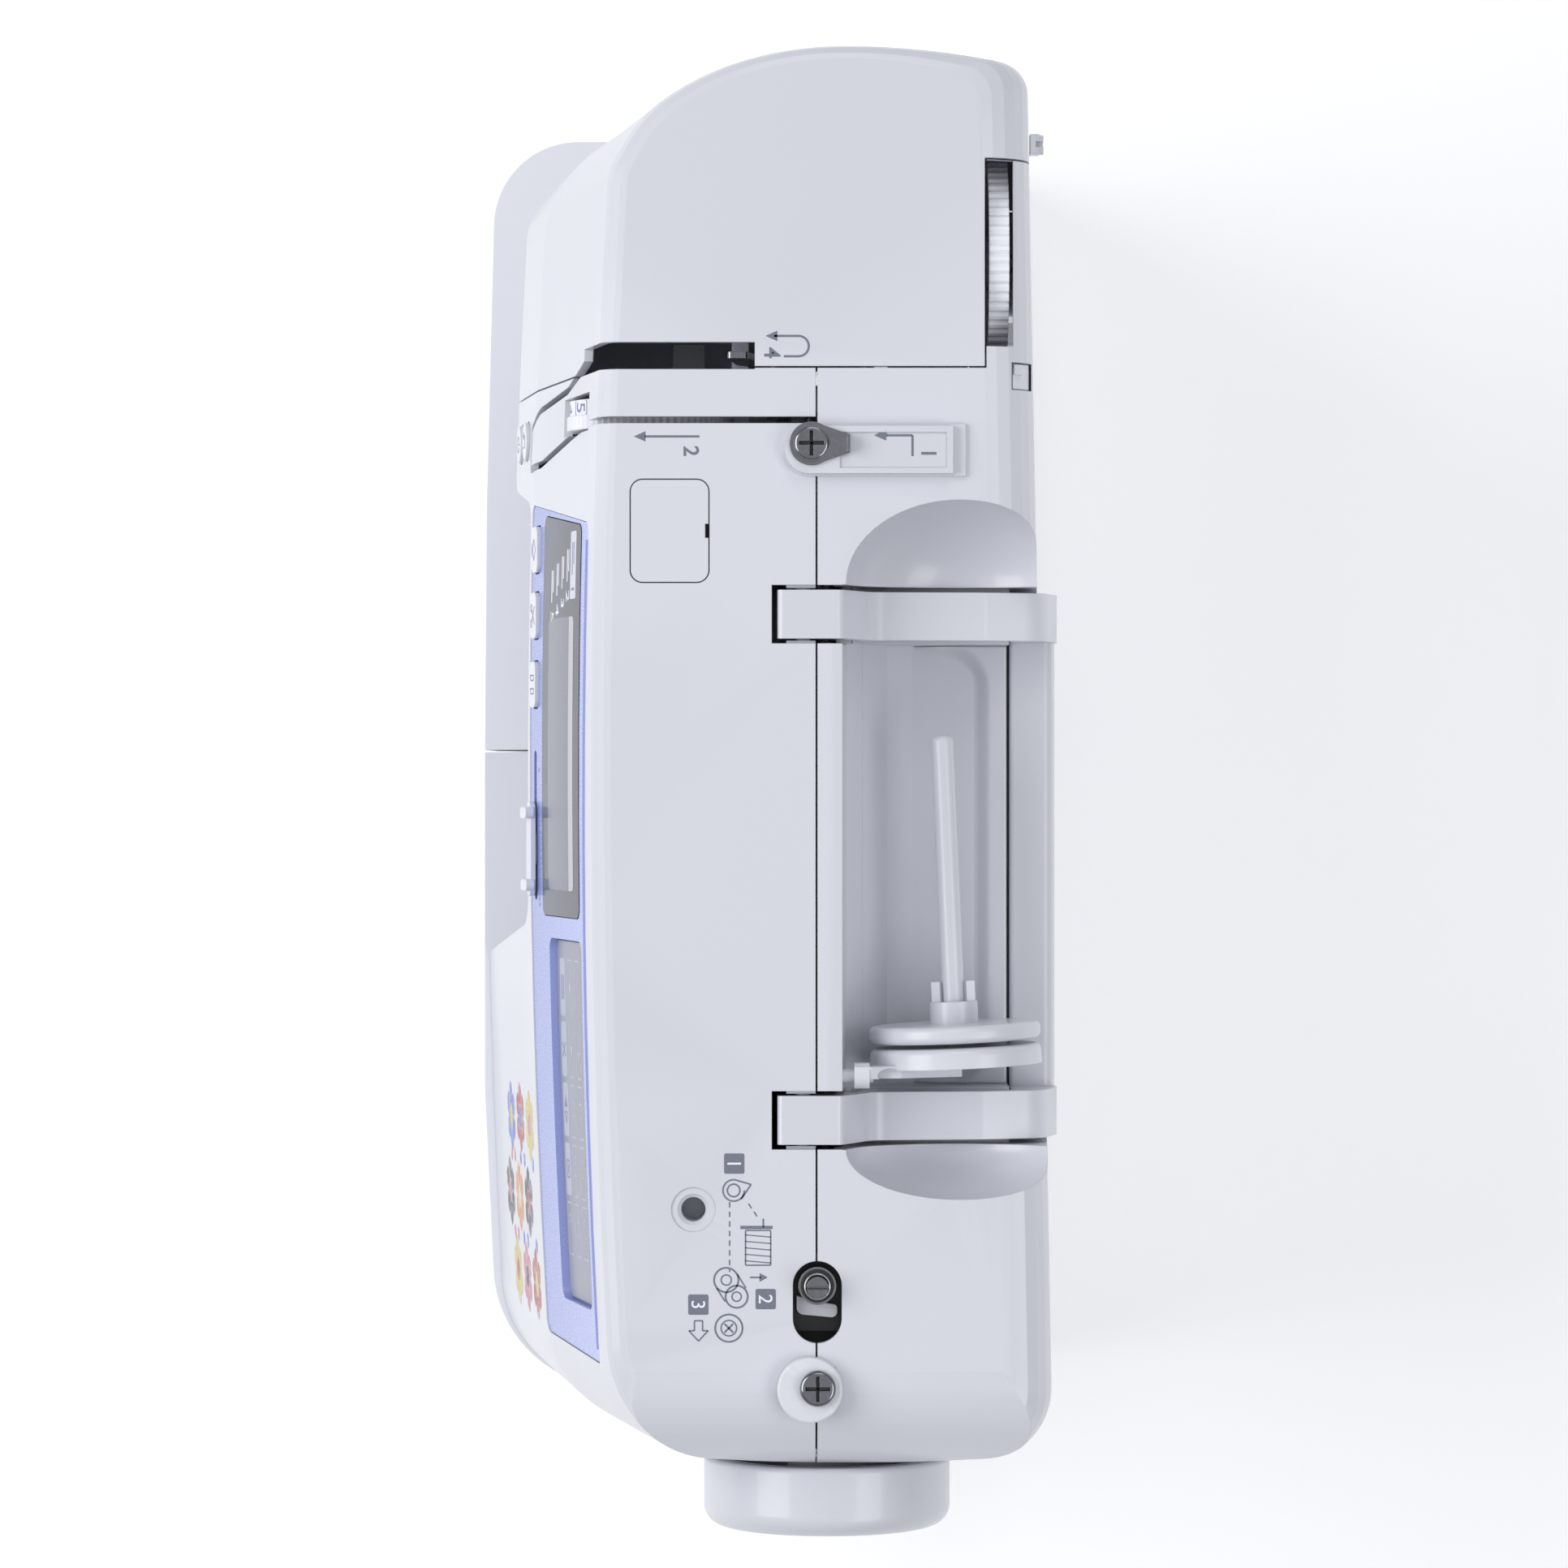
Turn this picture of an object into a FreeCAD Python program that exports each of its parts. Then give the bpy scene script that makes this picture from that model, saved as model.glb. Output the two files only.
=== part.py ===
"""A free-arm household sewing machine with an electronic stitch panel, built as an assembly.

Frame: millimetres, +Z up. +X runs along the arm from the needle head to the handwheel, the
operator sits on the -Y side, and the origin lies under the middle of the machine on the table.

The closed casing (covers, panel, base and extension table) carries a cast frame, and the frame
carries the upper shaft, the needle and presser bars, the lower shaft, the hook and the motor.
Each function below makes one node; the table at the end names them all and writes one STEP each.
"""
import FreeCAD
import Part
import functools
import math
import os

V = FreeCAD.Vector

# ---------------------------------------------------------------- overall sizes
BODY_TOP = 288.0           # flat top of the arm above the table
HEAD_LEFT = -203.4         # furthest point of the bowed needle head end
ARM_RIGHT = 181.0          # right-hand wall of the column
BASE_FRONT = -84.6         # front wall of the base and of the extension table
BASE_REAR = 84.6
BED_TOP = 78.0             # working surface
ARM_UNDER = 188.0          # underside of the arm
HEAD_UNDER = 146.0         # underside of the needle head
HEAD_RIGHT = -90.0         # right-hand wall of the needle head, at its underside
COLUMN_LEFT = 36.0         # left-hand wall of the column, under the arm
COLUMN_FLARE = 12.0        # how far that wall runs out to the left before it meets the bed
WALL = 2.5                 # wall of every cover
SEAM = 0.5                 # open joint line between two covers
CROWN = 0.05               # how far the lofted body rises over the plane that trims its top
GAP = 0.3                  # clearance of a piece that sits in a pocket
FIT = 0.05                 # radial clearance of a shaft in its bush

# ---------------------------------------------------------------- casing outline
FRONT_LOW = (60.0, -86.5)      # (height, front face) of the leaning front, at the bottom
FRONT_MID = (194.0, -65.4)     # just above the underside of the arm
FRONT_HIGH = (282.0, -45.2)    # where the front face meets the top rounding
REAR_LOW = 84.5                # rear face at the bottom
REAR_HIGH = 80.4               # rear face where the rear rounding starts
FRONT_ROUND = 6.0              # radius of the edge between front face and top
REAR_ROUND = 14.0              # radius of the edge between rear face and top
END_ROUND = 4.0                # radius of the edge round the needle head end
SHOULDER_ROUND = 28.0          # radius of the top right-hand shoulder
FRONT_BOW = 4.3                # how far the front face curves back at both ends
REAR_TAPER = 6.5               # how far the rear face runs forward towards the needle head
FRONT_CORNER = 34.0            # vertical corner at the front right
REAR_CORNER = 20.0             # vertical corner at the rear right
SPLIT_Y = 16.2                 # joint line between the front and the rear cover
FACE_X = -116.2                # joint line between the face cover and its neighbours
FACE_REAR_Y = 61.9             # rear edge of the face cover beside the pressure dial
FACE_BACK_X = -172.5           # beyond it the face cover reaches right to the rear wall

# ---------------------------------------------------------------- shafts
SHAFT_Y, SHAFT_Z = 19.4, 232.0     # axis of the upper shaft and of the handwheel
SHAFT_R = 6.0
LOWER_Y, LOWER_Z = 0.95, 49.5      # axis of the lower shaft
LOWER_R = 4.0
HANDWHEEL_R = 34.4
HANDWHEEL = (ARM_RIGHT + 3.2, ARM_RIGHT + 22.4)     # its inner and outer face
PULLEY_R, MOTOR_PULLEY_R = 26.0, 6.5
TIMING_R = 12.0
BELT_X = (113.0, 119.0)            # the motor belt's pulleys
TIMING_X = (100.0, 108.0)          # the timing belt's pulleys
MOTOR_Y, MOTOR_Z, MOTOR_R = 44.0, 112.0, 24.0
CRANK_R, CRANK_THROW = 20.0, 15.0
CRANK_X = (-112.0, -106.0)
ROD_X = (-117.6, -113.6)
ROD_LENGTH = 40.0

# ---------------------------------------------------------------- needle head
NEEDLE_X, NEEDLE_Y = -135.0, 6.5
NEEDLE_BAR_R = 3.5
NEEDLE_TIP_Z = 96.0
PRESSER_Y = 24.0
PRESSER_BAR_R = 3.0
FOOT_SOLE_Z = 79.2
HOOK_Y = -12.0
HOOK_R = 16.5
HOOK_Z = (59.0, 75.0)
HOOK_GEAR_R, LOWER_GEAR_R = 4.2, 8.4
FEED_TOP = 78.9
FEED_ROWS = (NEEDLE_X - 9.0, NEEDLE_X + 5.8)   # left sides of the two toothed bars
FEED_WIDTH = 3.2
FEED_Y = (10.0, 26.0)
TAKE_UP = (31.0, 210.5)            # (Y, Z) of the take-up lever's pivot
LIFTER = (44.0, 170.0)             # (Y, Z) of the presser foot lifter's pivot

# ---------------------------------------------------------------- top details
HANDLE_X = (-56.0, 94.0)           # outer sides of the two handle arms
HANDLE_ARM = 13.2                  # width of an arm
HANDLE_PIVOT = (12.5, 281.5)       # (Y, Z) of the handle's pins
HANDLE_FRONT = 5.6                 # front end of the handle knuckles
BAY_FRONT = 23.2                   # front edge of the spool bay
BAY_FLOOR = 237.0
ARM_BAY_FLOOR = 254.4              # floor under the handle arms
GRIP_LEDGE = 223.4                 # floor under the handle grip
GRIP_STEP_Y = 69.6
SPOOL_Y, SPOOL_Z = 54.5, 266.0
SPOOL_PIN_R = 3.1
SPOOL_DISC_R = 23.5
SPOOL_SKEW = 2.5                   # degrees that the spool pin points towards the front
SPOOL_HINGE = (75.5, 283.5)        # (X, Z) of the spool pin's hinge
TENSION_Y, TENSION_Z, TENSION_R = -29.6, 252.0, 23.0
TENSION_X = (-109.0, -104.6, -100.8)   # number drum, then milled rim
PRESSURE_X, PRESSURE_Z, PRESSURE_R = -147.0, 256.2, 30.0
PRESSURE_Y = (62.9, 68.4)
PIN_HOLE_X, PIN_HOLE_Y, PIN_HOLE_R = 111.5, -17.1, 3.3
PIN_HOLE_DEPTH = 14.0
WINDER_X, WINDER_Y = 132.0, 16.4
WINDER_SLOT = (125.4, 147.6, 13.2)     # left end, right end, width
WINDER_SEAT, WINDER_TIP, WINDER_PIN_R = 288.8, 295.4, 2.9
STOPPER_X, STOPPER_Y, STOPPER_R = 159.9, 14.4, 8.9
STOPPER_TOP = 292.0
SCREW_R, SCREW_HEAD_R = 1.9, 4.85      # the two large top screws
GUIDE_X = (-100.7, -86.6)              # the raised thread guide pad
GUIDE_Y = (7.0, 56.5)
GUIDE_TOP = 291.6
ACCESS_X = (-86.0, -57.8)
ACCESS_Y = (-34.3, -12.7)

# ---------------------------------------------------------------- operating panel
PANEL = ((-83.5, 191.5), (153.0, 196.0), (155.0, 271.0), (-74.5, 275.5))   # (X, Z) corners
DISPLAY = ((-79.5, 211.0), (33.5, 211.0), (33.5, 264.0), (-74.5, 265.0))
KEYPAD = ((42.0, 221.5), (139.0, 223.0), (139.0, 261.6), (42.0, 263.6))
KEYPAD_DEPTH = 3.2
PANEL_KEYS = (-70.4, -51.6, -31.9)     # centres of the three small keys
PANEL_KEY = (13.0, 8.6)
PANEL_KEY_Z = 200.6
SLIDER_SLOT = (-13.0, 29.5)
SLIDER = (1.5, 28.5)
SLIDER_Z = 200.4
ROUND_KEYS = (158.0, 173.0)            # heights of start/stop and reverse
ROUND_KEY_X, ROUND_KEY_R = -103.0, 5.5

# ---------------------------------------------------------------- base and bed
BASE_LEFT = -13.2                      # the base proper; the extension table ends here
FREE_ARM_END = -190.0
FREE_ARM_Y = (-40.0, 34.0)
FREE_ARM_UNDER = 38.0
BASE_Z = (5.0, 24.0)
TONGUE_END = -184.0
TONGUE_Y = (-35.0, 29.0)
PLATE_X = (-166.0, -104.0)             # needle plate and hook cover, side to side
PLATE_Y = (-2.0, 31.0)
HOOK_COVER_Y = (-36.0, -2.4)
TABLE_LEFT = -201.0
TABLE_REAR = 80.0
TABLE_TOP = 77.7
FLAP_X = (-150.0, -34.0)
FLAP_Z = (17.0, 68.0)
FEET = ((-172.0, -3.0), (2.0, -68.0), (2.0, 68.0), (154.0, -58.0), (154.0, 64.0))
INLET_Y, INLET_Z = (16.0, 40.0), (36.0, 56.0)
SWITCH_Y, SWITCH_Z = (46.0, 60.0), (37.0, 55.0)


# ================================================================= helpers
def box(x, y, z):
    """A block between two X, two Y and two Z values."""
    return Part.makeBox(x[1] - x[0], y[1] - y[0], z[1] - z[0], V(x[0], y[0], z[0]))


def rod(axis, a, b, span, radius):
    """A cylinder along X, Y or Z. a and b are its other two coordinates, in X, Y, Z order."""
    low, high = span
    start = {"x": V(low, a, b), "y": V(a, low, b), "z": V(a, b, low)}[axis]
    along = {"x": V(1, 0, 0), "y": V(0, 1, 0), "z": V(0, 0, 1)}[axis]
    return Part.makeCylinder(radius, high - low, start, along)


def tube(axis, a, b, span, outer, inner):
    return rod(axis, a, b, span, outer).cut(rod(axis, a, b, span, inner))


def corner_points(points, index):
    """Where the rounding at one corner starts, its middle and its end."""
    here = V(points[index][0], points[index][1], 0)
    radius = points[index][2] if len(points[index]) > 2 else 0.0
    if radius == 0.0:
        return here, here, here
    before = V(*points[index - 1][:2], 0) - here
    after = V(*points[(index + 1) % len(points)][:2], 0) - here
    half = before.getAngle(after) / 2
    before.normalize()
    after.normalize()
    reach = radius / math.tan(half)
    inward = before + after
    inward.normalize()
    middle = here + inward * (radius / math.sin(half) - radius)
    return here + before * reach, middle, here + after * reach


def outline(points, place):
    """A closed wire through corners (a, b) or (a, b, radius); place puts (a, b) in space."""
    corners = [corner_points(points, i) for i in range(len(points))]
    edges = []
    for i, (start, middle, end) in enumerate(corners):
        if start != end:
            edges.append(Part.Arc(place(start), place(middle), place(end)).toShape())
        following = corners[(i + 1) % len(corners)][0]
        if (following - end).Length > 1e-6:
            edges.append(Part.LineSegment(place(end), place(following)).toShape())
    return Part.Wire(edges)


def slab(plane, points, span):
    """A prism: an outline in the xy, xz or yz plane, carried along the third axis over span."""
    low, high = span
    place = {
        "xy": lambda p: V(p.x, p.y, low),
        "xz": lambda p: V(p.x, low, p.y),
        "yz": lambda p: V(low, p.x, p.y),
    }[plane]
    along = {"xy": V(0, 0, 1), "xz": V(0, 1, 0), "yz": V(1, 0, 0)}[plane] * (high - low)
    return Part.Face(outline(points, place)).extrude(along)


def rounded(x, y, radius):
    """Corner list of a rectangle whose corners all have one radius."""
    return [(x[0], y[0], radius), (x[1], y[0], radius), (x[1], y[1], radius), (x[0], y[1], radius)]


def grown(corners, by, radius):
    """A four-cornered outline moved out by a margin, with its corners rounded."""
    a = sum(p[0] for p in corners) / len(corners)
    b = sum(p[1] for p in corners) / len(corners)
    return [
        (p[0] + math.copysign(by, p[0] - a), p[1] + math.copysign(by, p[1] - b), radius)
        for p in corners
    ]


def fuse(shapes):
    whole = shapes[0]
    for shape in shapes[1:]:
        whole = whole.fuse(shape)
    return whole.removeSplitter()


def belt(axis_a, radius_a, axis_b, radius_b, span, thickness):
    """A flat belt round two pulleys whose axes run along X; axis_a and axis_b are (Y, Z)."""
    def loop(extra):
        ra, rb = radius_a + extra, radius_b + extra
        ay, az = axis_a
        by, bz = axis_b
        reach = math.hypot(by - ay, bz - az)
        heading = math.atan2(bz - az, by - ay)
        lean = math.acos((ra - rb) / reach)
        corners = []
        for side in (1, -1):
            turn = heading + side * lean
            corners.append((ay + ra * math.cos(turn), az + ra * math.sin(turn)))
            corners.append((by + rb * math.cos(turn), bz + rb * math.sin(turn)))
        web = slab("yz", [corners[0], corners[1], corners[3], corners[2]], span)
        return web.fuse([rod("x", ay, az, span, ra), rod("x", by, bz, span, rb)])
    return loop(thickness).cut(loop(0.0)).removeSplitter()


# ================================================================= casing shape
def front_at(z):
    """The leaning front face at the middle of the machine, below the top rounding."""
    low, mid, high = FRONT_LOW, FRONT_MID, FRONT_HIGH
    a, b = (low, mid) if z < mid[0] else (mid, high)
    return a[1] + (b[1] - a[1]) * (z - a[0]) / (b[0] - a[0])


def plan_wire(z, front, rear, side):
    """The casing's outline at one height: always eight edges, so that levels can be lofted."""
    right = ARM_RIGHT - side
    left = HEAD_LEFT + side
    ends = front + FRONT_BOW
    fc = V(right - FRONT_CORNER, ends + FRONT_CORNER, z)
    rc = V(right - REAR_CORNER, rear - REAR_CORNER, z)
    slant = math.sqrt(0.5)
    a = V(-162, ends, z)
    b = V(fc.x, ends, z)
    c = V(right, fc.y, z)
    d = V(right, rc.y, z)
    e = V(rc.x, rear, z)
    f = V(left + 12.0, rear - REAR_TAPER, z)
    g = V(left + 3.6, rear - REAR_TAPER - 7.3, z)
    h = V(left, 24, z)
    arcs = [
        (a, V(-8, front, z), b),
        (b, fc + V(slant, -slant, 0) * FRONT_CORNER, c),
        (c, V(right + 1.5, (c.y + d.y) / 2, z), d),
        (d, rc + V(slant, slant, 0) * REAR_CORNER, e),
        (f, V(left + 6.6, rear - REAR_TAPER - 2.0, z), g),
        (g, V(left + 0.9, (g.y + h.y) / 2, z), h),
    ]
    edges = [Part.Arc(*points).toShape() for points in arcs]
    edges.insert(4, Part.LineSegment(e, f).toShape())
    edges.append(quarter(V(a.x, h.y, z), h, a))
    return Part.Wire(edges)


def quarter(centre, start, end):
    """A smooth quarter of an oval from start to end."""
    to_start, to_end = start - centre, end - centre
    points = []
    for i in range(7):
        turn = math.radians(90 * i / 6)
        points.append(centre + to_start * math.cos(turn) + to_end * math.sin(turn))
    curve = Part.BSplineCurve()
    curve.interpolate(Points=points, InitialTangent=to_end, FinalTangent=to_start * -1)
    return curve.toShape()


@functools.lru_cache(maxsize=None)
def casing(inset):
    """The arm, head and column as one solid, moved in by inset from the outer surface."""
    wires = []
    for z, rear in ((FRONT_LOW[0], REAR_LOW), (FRONT_MID[0], REAR_LOW - 0.6)):
        wires.append(plan_wire(z, front_at(z) + inset, rear - inset, inset))
    start = BODY_TOP - REAR_ROUND
    steps = 6
    for i in range(steps + 1):
        turn = math.radians(90 * i / steps)
        z = start + (REAR_ROUND + CROWN - inset) * math.sin(turn)
        rear = REAR_HIGH - inset - (REAR_ROUND - inset) * (1 - math.cos(turn))
        front = front_at(min(z, FRONT_HIGH[0])) + inset + edge_step(z, FRONT_ROUND, inset)
        side = inset + edge_step(z, END_ROUND, inset)
        wires.append(plan_wire(z, front, rear, side))
    wires.append(plan_wire(BODY_TOP + 2, front, rear, side))
    return Part.makeLoft(wires, True, True).common(slab("xz", silhouette(inset), (-120, 120)))


def edge_step(z, radius, inset):
    """How far a rounded top edge has come in at height z."""
    left = max(radius - inset, 0.4)
    up = min(max(z - (BODY_TOP - inset - left), 0.0), left)
    return left - math.sqrt(left * left - up * up)


def silhouette(inset):
    """Front view of the casing with the space under the arm left out."""
    bottom = BED_TOP + GAP if inset <= 0.5 else FRONT_LOW[0] + 1
    far = 240.0
    return [
        (-far, HEAD_UNDER + inset),
        (HEAD_RIGHT - inset, HEAD_UNDER + inset, 6.0),
        (HEAD_RIGHT + 6 - inset, ARM_UNDER + inset, 9.0),
        (COLUMN_LEFT + inset, ARM_UNDER + inset, 14.0),
        (COLUMN_LEFT + COLUMN_FLARE + inset, bottom),
        (ARM_RIGHT + 2.0 - inset, bottom),
        (ARM_RIGHT + 2.0 - inset, BODY_TOP - inset, SHOULDER_ROUND - inset),
        (-far, BODY_TOP - inset),
    ]


def bay(grow):
    """The hollow for spool and handle in the rear of the arm, grown by a wall where it is one."""
    def profile(slope, floor):
        step, ledge = GRIP_STEP_Y - grow, GRIP_LEDGE - grow
        return [
            (BAY_FRONT - grow, 320),
            (BAY_FRONT - grow, 284),
            *[(y - grow, z - grow) for y, z in slope],
            (step, floor - grow, 1.5),
            (step, ledge, 2.0),
            (130, ledge),
            (130, 320),
        ]
    inner = (HANDLE_X[0] + HANDLE_ARM, HANDLE_X[1] - HANDLE_ARM)
    outer = (HANDLE_X[0] - 1.4 - grow, HANDLE_X[1] + 1.4 + grow)
    spool = slab("yz", profile(((24.5, 262), (36, 243), (43, BAY_FLOOR)), BAY_FLOOR),
                 (inner[0] + 0.8 - grow, inner[1] - 0.8 + grow))
    arms = slab("yz", profile(((24, 276), (29, ARM_BAY_FLOOR)), ARM_BAY_FLOOR), outer)
    scoops = [
        scoop(HANDLE_X[0] - 1.4, 23.0 + grow, grow),
        scoop(HANDLE_X[1] + 1.4, 13.5 + grow, grow),
    ]
    return spool.fuse([arms, *scoops])


def scoop(x, reach, grow):
    """A finger scoop beside a handle arm: part of an ellipsoid."""
    ball = Part.makeSphere(1.0)
    ball.rotate(V(0, 0, 0), V(0, 1, 0), 90)
    place = FreeCAD.Matrix()
    place.scale(V(reach, 31.0 + grow, 30.0 + grow))
    place.move(V(x, 55.0, BODY_TOP + 3))
    return ball.transformGeometry(place)


def skin(outer_inset, inner_inset):
    """A layer that follows the front of the casing, between two depths under its surface."""
    return casing(outer_inset).cut(casing(inner_inset))


def face_patch(corners, margin, radius, depths):
    """A plate that follows the leaning front face, with a four-cornered outline."""
    tool = slab("xz", grown(corners, margin, radius), (-100, -20))
    return skin(*depths).common(tool)


# ================================================================= slots and openings
def take_up_slot():
    """The slot that the take-up lever moves in: wide on the top, narrow down the front."""
    top = box((-122.9, -115.6), (-70, -0.5), (262, 300))
    front = slab("xz", [(-122.9, 300), (-122.9, 274), (-118.5, 258), (-114.0, 240), (-111.0, 200),
                        (-106.5, 182, 3), (-93.0, 182, 3), (-93.6, 204), (-95.6, 204),
                        (-95.4, 184.4, 1.2), (-105.2, 184.4, 1.2), (-109.2, 200), (-112.0, 240),
                        (-115.6, 258), (-115.6, 300)], (-100, -20))
    return top.fuse(front)


def tension_slot():
    """The slot that the thread runs down past the tension discs."""
    top = box((-102.8, -101.0), (-70, SPLIT_Y), (262, 300))
    front = slab("xz", [(-102.8, 300), (-102.8, 270), (-101.0, 250), (-95.6, 204), (-93.6, 204),
                        (-99.0, 250), (-101.0, 270), (-101.0, 300)], (-100, -20))
    return top.fuse(front)


def cover_openings():
    """Everything that is cut through the top and front of the covers."""
    pressure = box((-172.2, -121.8), (61.9, 69.4), (240, 300))
    window = box((-117.6, -110.2), (69.0, 74.6), (262, 300))
    winder = slab("xy", rounded(WINDER_SLOT[:2], slot_sides(), WINDER_SLOT[2] / 2 - 0.01),
                  (262, 300))
    screws = [rod("z", *place, (270, 300), SCREW_R) for place in (guide_screw(), stopper_screw())]
    hinge_pockets = [
        box((x[0] - 1.3, x[1] + 1.3), (HANDLE_FRONT - 1.5, BAY_FRONT + 3.0), (266, 300))
        for x in handle_arms()
    ]
    access = slab("xy", rounded(ACCESS_X, ACCESS_Y, 3.5), (270, 300))
    pin_hole = rod("z", PIN_HOLE_X, PIN_HOLE_Y, (270, 300), 6.0)
    shaft = rod("x", SHAFT_Y, SHAFT_Z, (150, ARM_RIGHT + 19), 11.0)
    tension = box((-110.6, -100.2), (-75, -41.5), (236.5, 271.5))
    panel = slab("xz", grown(PANEL, 0.25, 4.0), (-100, -35))
    bars = slab("xy", rounded((-150, -119), (-8, 38), 5), (HEAD_UNDER - 10, HEAD_UNDER + 10))
    lifter = box((-141.5, -128.5), (30, 100), (HEAD_UNDER - 10, 206))
    lamp = box((-178, -156), (-14, 16), (HEAD_UNDER - 10, HEAD_UNDER + 8))
    keys = [rod("y", ROUND_KEY_X, z, (-100, -50), ROUND_KEY_R + 0.45) for z in ROUND_KEYS]
    return [take_up_slot(), tension_slot(), pressure, window, winder, *screws, *hinge_pockets,
            access, pin_hole, shaft, tension, panel, bars, lifter, lamp, *keys]


def slot_sides():
    return WINDER_Y - WINDER_SLOT[2] / 2, WINDER_Y + WINDER_SLOT[2] / 2


def handle_arms():
    left, right = HANDLE_X
    return (left, left + HANDLE_ARM), (right - HANDLE_ARM, right)


def covers():
    """The hollow casing with its openings, cut along its joint lines into four covers."""
    outer = casing(0.0).cut(bay(0.0))
    inner = casing(WALL).cut(bay(WALL))
    shell = outer.cut(inner).cut(Part.makeCompound(cover_openings()))
    far = 320.0
    half = SEAM / 2
    face = box((-far, FACE_X - half), (-far, FACE_REAR_Y - half), (0, far)).fuse(
        box((-far, FACE_BACK_X - half), (-far, far), (0, far)))
    behind = box((FACE_X + half, far), (SPLIT_Y + half, far), (0, far)).fuse(
        box((FACE_BACK_X + half, far), (FACE_REAR_Y + half, far), (0, far)))
    front = shell.common(box((FACE_X + half, far), (-far, SPLIT_Y - half), (0, far)))
    ordered = sorted(front.Solids, key=lambda solid: solid.Volume)
    return {
        "face_cover": largest(shell.common(face)),
        "rear_cover": fuse([largest(shell.common(behind)), spool_hinge_pin()]),
        "front_cover": fuse([ordered[-1], *handle_sockets(), spare_pin_socket()]),
        "channel_cover": ordered[-2],
    }


def largest(shape):
    return max(shape.Solids, key=lambda solid: solid.Volume)


# ================================================================= front face and panel
def on_front(x, z):
    """Where a piece stands on the leaning front face: its own Z points straight out of it."""
    low, high = (FRONT_LOW, FRONT_MID) if z < FRONT_MID[0] else (FRONT_MID, FRONT_HIGH)
    lean = math.degrees(math.atan2(high[1] - low[1], high[0] - low[0]))
    bow = FRONT_BOW * ((x + 8) / 154) ** 2
    return FreeCAD.Placement(V(x, front_at(z) + bow, z), FreeCAD.Rotation(V(1, 0, 0), 90 - lean))


def placed(shape, placement):
    moved = shape.copy()
    moved.Placement = placement.multiply(moved.Placement)
    return moved


def panel_key(x, z):
    """A small rounded key that stands slightly proud of the panel."""
    w, h = PANEL_KEY[0] / 2, PANEL_KEY[1] / 2
    cap = slab("xy", rounded((-w, w), (-h, h), 2.2), (-4.2, 0.8))
    return placed(cap, on_front(x, z))


def key_hole(x, z):
    w, h = PANEL_KEY[0] / 2 + 0.45, PANEL_KEY[1] / 2 + 0.45
    return placed(slab("xy", rounded((-w, w), (-h, h), 2.5), (-12, 8)), on_front(x, z))


def slider_travel(x0, x1, half, depth, height):
    """A block or slot along the panel's lower edge, between two X values."""
    middle = (x0 + x1) / 2
    run = (x1 - x0) / 2
    block = slab("xy", rounded((-run, run), (-half, half), min(half, run) * 0.9), (depth, height))
    return placed(block, on_front(middle, SLIDER_Z))


def front_panel():
    plate = face_patch(PANEL, -0.05, 3.8, (GAP, 4.8))
    flange = face_patch(PANEL, 3.0, 4.0, (WALL + GAP, 4.8))
    cuts = [
        face_patch(DISPLAY, 0.25, 3.2, (-2.0, 1.9)),
        face_patch(KEYPAD, 2.2, 4.0, (-2.0, KEYPAD_DEPTH)),
        *[key_hole(x, PANEL_KEY_Z) for x in PANEL_KEYS],
        slider_travel(*SLIDER_SLOT, 2.0, -12, 8),
    ]
    return largest(plate.fuse(flange).cut(Part.makeCompound(cuts)))


def lcd_window():
    return face_patch(DISPLAY, 0.0, 3.0, (0.15, 1.6))


def keypad_film():
    return face_patch(KEYPAD, 1.6, 3.4, (KEYPAD_DEPTH - 0.9, KEYPAD_DEPTH - 0.1))


def speed_slider():
    lugs = [slider_travel(a, a + 3.2, 4.6, 1.0, 3.4) for a in (SLIDER[0] + 1.6, SLIDER[1] - 4.8)]
    foot = slider_travel(SLIDER[0] + 9, SLIDER[1] - 9, 1.5, -6.0, 1.2)
    plate = slider_travel(SLIDER[0] + 6, SLIDER[1] - 6, 3.6, -6.8, -5.2)
    cap = slider_travel(*SLIDER, 3.6, 0.4, 1.8)
    return fuse([cap, foot, plate, *lugs])


def round_key(z):
    cap = Part.makeCylinder(ROUND_KEY_R, 6.0, V(0, 0, -5.0))
    skirt = Part.makeCylinder(ROUND_KEY_R + 1.4, 1.0, V(0, 0, -5.0))
    return placed(cap.fuse(skirt).removeSplitter(), on_front(ROUND_KEY_X, z))


# ================================================================= pieces on the top
def access_cover():
    lid = slab("xy", rounded([ACCESS_X[0] + GAP, ACCESS_X[1] - GAP],
                             [ACCESS_Y[0] + GAP, ACCESS_Y[1] - GAP], 3.2),
               (BODY_TOP - 1.8, BODY_TOP))
    middle = (ACCESS_X[0] + ACCESS_X[1]) / 2
    notch = box((middle - 1.9, middle + 1.9), (ACCESS_Y[1] - 1.2, ACCESS_Y[1]), (280, 300))
    return lid.cut(notch)


def spare_pin_socket():
    """Bush in the top for the upright spare spool pin."""
    outer = rod("z", PIN_HOLE_X, PIN_HOLE_Y, (BODY_TOP - PIN_HOLE_DEPTH - 2, BODY_TOP - 0.4), 6.2)
    collar = rod("z", PIN_HOLE_X, PIN_HOLE_Y, (BODY_TOP - WALL - 2.3, BODY_TOP - WALL + 0.1), 8.0)
    bore = rod("z", PIN_HOLE_X, PIN_HOLE_Y, (BODY_TOP - PIN_HOLE_DEPTH, BODY_TOP + 2), PIN_HOLE_R)
    mouth = Part.makeCone(PIN_HOLE_R, PIN_HOLE_R + 1.4, 1.4,
                          V(PIN_HOLE_X, PIN_HOLE_Y, BODY_TOP - 1.4))
    return fuse([outer, collar]).cut(bore).cut(mouth)


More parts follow.
